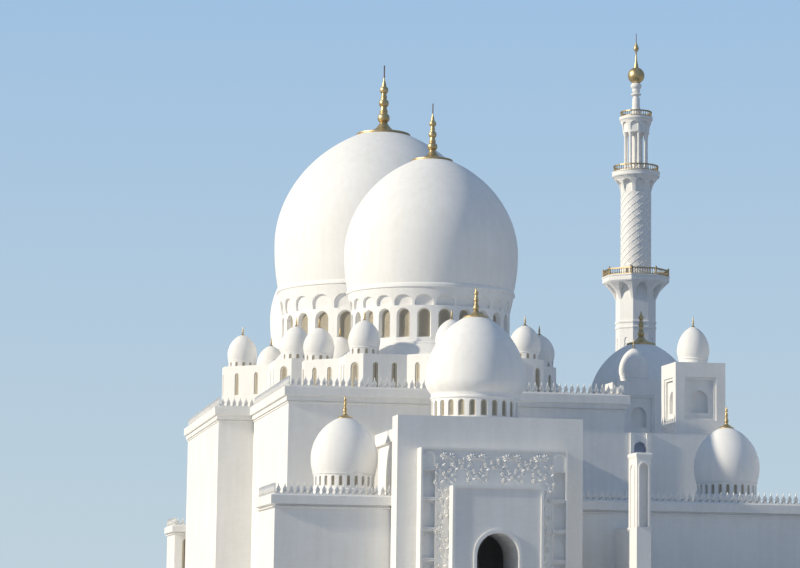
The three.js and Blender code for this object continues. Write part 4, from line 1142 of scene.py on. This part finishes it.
def panel_border(trim, frame_place, centre, top):
    """A raised border round one of the frame's sunk panels, and a small arch in the panel's head."""
    place = lambda a, o, z: frame_place(centre + a, o, z)
    half, low = FRAME_PANEL["width"] / 2, top - FRAME_PANEL["height"]
    foot, inner_half = top - PANEL_HEAD["height"], half - PANEL_HEAD["side"]
    outer, inner = ([(-a, z0), (a, z0), (a, z1), (-a, z1), (-a, z0)]
                    for a, z0, z1 in ((half + BORDER, low - BORDER, top + BORDER), (half, low, top)))
    raised_band(trim, place, outer, inner, 0.01, -0.01)
    crown = arch(2 * inner_half, foot, top - PANEL_HEAD["over"], 0.5, 12)[1:-1]
    for (a0, z0), (a1, z1) in zip(crown, crown[1:]):
        fill(trim, place, ((a0, z0), (a1, z1), (a1, top), (a0, top)), level(-0.02))
    for side, near in ((-half, -inner_half), (half, inner_half)):
        fill(trim, place, ((side, foot), (near, foot), (near, top), (side, top)), level(-0.02))


def portal_dressing(name, sign):
    """Mouldings, the carved flowers and the framed panels on a portal screen."""
    trim, relief = Shape(), Shape()
    frame_place, door_place = (end_place(0.0, edge["outer"], sign) for edge in (PORTAL_FRAME, DOOR_FRAME))
    for place, edge in ((frame_place, PORTAL_FRAME), (door_place, DOOR_FRAME)):
        half, top, band = edge["half"], edge["top"], edge["band"]
        for a in (-half, half - band):
            box(trim, place, a, a + band, -0.005, FRAME_OUT, FLOOR_TOP, top)
        box(trim, place, -half + band, half - band, -0.005, FRAME_OUT, top - band, top)
    width, top, edge = DOORWAY["width"], DOORWAY["top"], DOORWAY["edge"]
    doorway = arch(width, FLOOR_TOP, top, 0.5, 16)
    inner_doorway = arch(width - 2 * edge, FLOOR_TOP, top - 0.037, 0.5, 16)
    raised_band(trim, door_place, doorway, inner_doorway, FRAME_OUT, -0.02)
    draw = random.Random(7)
    for hand in (-1, 1):
        for across, foot, height, sway, bend in VINES:
            vine(relief, frame_place, hand * across, foot, height, sway, hand * bend, draw)
        for top in FRAME_PANEL["tops"]:
            panel_border(trim, frame_place, hand * FRAME_PANEL["centre"], top)
        raised_arch(trim, frame_place, hand * FRAME_PANEL["centre"], **TOP_ARCH)
    make_piece(name + "_trim", trim, WALL_MARBLE, crease=30)
    make_piece(name + "_relief", relief, WALL_MARBLE, crease=60)


def pier_dressing(name, sign):
    """A rounded, flared cap on the pier beside the portal, and bands round its niche and its west arch."""
    stone = Shape()
    x, y = (PIER["west"] + PIER["east"]) / 2, (PIER["outer"] + PIER["inner"]) / 2
    half_x, half_y = (PIER["east"] - PIER["west"]) / 2, (PIER["outer"] - PIER["inner"]) / 2
    top = PIER["top"]
    cap = [(0.0, top - 0.06), (0.004, top - 0.05), (0.01, top - 0.03), (0.012, top - 0.014),
           (0.009, top - 0.002), (0.0, top + 0.006), (0.002 - half_x, top + 0.01)]
    moulding(stone, square_corners(x, sign * y, half_x, half_y), cap)
    width, band, sill = PIER_NICHE["width"], PIER_NICHE["band"], PIER_NICHE["sill"]
    head = PIER_NICHE["top"] + band
    raised_arch(stone, end_place(x, PIER["outer"], sign), 0.0, width + 2 * band, width, sill, head)
    west_place = flat_place(PIER["west"], sign * y, -math.pi / 2)
    raised_arch(stone, west_place, 0.0, **PIER_WEST_ARCH, sill=sill, top=head)
    make_piece(name, stone, WALL_MARBLE, crease=30)


def gallery_window(name, sign):
    """Glass in the window of the gallery's end wall, as an opaque bluish pane whose colour is painted deep
    shade, and a raised band down each side of the window.
    """
    stone, glass = Shape(), Shape()
    width, band, out = GALLERY_WINDOW["width"], GALLERY_WINDOW["band"], GALLERY_WINDOW["band_out"]
    place = end_place(GALLERY_WINDOW["x"], HALL_HALF_LENGTH, sign)
    outline = arch(width, GALLERY_WINDOW["sill"], GALLERY_WINDOW["top"], 0.56, 12)
    fill(glass, place, outline, level(-GALLERY_WINDOW["set_back"]))
    for left in (-width / 2 - band, width / 2):
        box(stone, place, left, left + band, -0.005, out, WING_PARAPET_TOP, GALLERY_TOP)
    make_piece(name + "_trim", stone, WALL_MARBLE, crease=30)
    # The pane's bluish material paints deep shade.
    make_piece(name + "_glass", glass, BLUE_GLASS_PAINTED_SHADE)


def return_screen(name, sign):
    """A tall lattice in a stone frame, in the gap between the west wing's end and the hall's corner."""
    shapes = stone, bars, glass = Shape(), Shape(), Shape()
    edge = WING_SCREEN["edge"]
    left, right = -WEST_WING_END + edge, -HALL_HALF_WIDTH
    half, low, high = (right - left) / 2, FLOOR_TOP, WING_ROOF_TOP - edge
    heading = math.pi if sign < 0 else 0.0
    place = flat_place((left + right) / 2, sign * (HALL_HALF_LENGTH + WING_SCREEN["out"]), heading)
    hole = dict(width=WING_SCREEN["share"] * 2 * half, sill=low + WING_SCREEN["sill"],
                top=high - WING_SCREEN["head"])
    window(shapes, place, (-half, half, low, high), hole, **SCREEN_LATTICE)
    make_piece(name, stone, WALL_MARBLE, crease=30)
    make_windows(name, bars, glass)


def dress_cad_nodes():
    for name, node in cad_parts.items():
        material = PAVING if name == "floor" else WALL_MARBLE
        if not node.material_slots:
            node.data.materials.append(material)
        node.material_slots[0].link = "OBJECT"
        node.material_slots[0].material = material


# Stage

def sky_and_sun():
    """Bluish light from all round in the shade, a sky that only the camera sees, and a warm low sun."""
    scene = bpy.context.scene
    scene.world = bpy.data.worlds.new("studio")
    scene.world.use_nodes = True
    tree = scene.world.node_tree
    nodes = Nodes(tree)
    shade = nodes.feed(tree.nodes["Background"], {"Color": (*SHADE_COLOUR, 1.0)})
    direction = nodes.add("SeparateXYZ", {"Vector": nodes.place("Generated")})
    sky = nodes.add("Background", {"Color": nodes.ramp(direction.outputs["Z"], [SKY_LOW, SKY_HIGH])})
    seen = nodes.add("LightPath", {}).outputs["Is Camera Ray"]
    either = nodes.add("MixShader", {0: seen, 1: shade.outputs["Background"], 2: sky.outputs["Background"]})
    nodes.feed(tree.nodes["World Output"], {"Surface": either.outputs["Shader"]})

    sun = bpy.data.lights.new("key", "SUN")
    sun.energy = SUN_ENERGY
    sun.angle = math.radians(1.5)
    sun.color = SUN_COLOUR
    key = bpy.data.objects.new("key", sun)
    towards = Vector((-math.cos(SUN_AZIMUTH), -math.sin(SUN_AZIMUTH), math.tan(SUN_ELEVATION)))
    key.rotation_euler = towards.to_track_quat("Z", "Y").to_euler()
    scene.collection.objects.link(key)


def studio_floor():
    mesh = bpy.data.meshes.new("studio_floor")
    corners = square_corners(0.0, 0.0, STUDIO_FLOOR_REACH, STUDIO_FLOOR_REACH)
    mesh.from_pydata([(x, y, -0.001) for x, y in corners], [], [(0, 1, 2, 3)])
    mesh.materials.append(plain_material("studio_floor", (0.56, 0.55, 0.53), (0.54, 0.53, 0.51), 0.8, 0.5))
    floor = bpy.data.objects.new("studio_floor", mesh)
    bpy.context.scene.collection.objects.link(floor)


def camera():
    lens = bpy.data.cameras.new("camera")
    lens.lens = CAMERA_LENS
    lens.sensor_width = 36.0
    lens.clip_start = 0.5
    lens.clip_end = 1000.0
    view = bpy.data.objects.new("camera", lens)
    turn = Matrix.Rotation(-CAMERA_HEADING, 4, "Z") @ Matrix.Rotation(math.pi / 2 + CAMERA_PITCH, 4, "X")
    view.matrix_world = Matrix.Translation(CAMERA_PLACE) @ turn @ Matrix.Rotation(CAMERA_ROLL, 4, "Z")
    bpy.context.scene.collection.objects.link(view)
    bpy.context.scene.camera = view


bpy.context.scene.view_settings.view_transform = "Standard"
sky_and_sun()
studio_floor()
camera()
dress_cad_nodes()
for name, y, dome in (("south", -SIDE_DOME_Y, SIDE), ("main", 0.0, MAIN), ("north", SIDE_DOME_Y, SIDE)):
    great_dome(name, y, dome)
    great_drum(name, y, dome)
    star_base(name, y, dome)

for side, sign in (("south", -1), ("north", 1)):
    drum_and_dome(side + "_portal_dome", 0.0, sign * PORTAL_DOME["y"], PORTAL_DOME)
    drum_and_dome(side + "west_wing_dome", WING_DOME["west_x"], sign * WING_DOME["y"], WING_DOME)
    drum_and_dome(side + "east_wing_dome", WING_DOME["east_x"], sign * WING_DOME["y"], WING_DOME)
    for i, tower_y in enumerate(TOWER["ys"]):
        tower(f"{side}_tower_{i + 1}", TOWER["x"], sign * tower_y)
    minaret(side + "_minaret", MINARET_X, sign * MINARET_Y)
    portal_dressing(side + "_portal", sign)
    pier_dressing(side + "_pier_trim", sign)
    gallery_window(side + "_gallery_window", sign)
    return_screen(side + "_wing_screen", sign)
drum_and_dome("entrance_dome", ENTRANCE_DOME["x"], 0.0, ENTRANCE_DOME)
cornices_and_merlons()
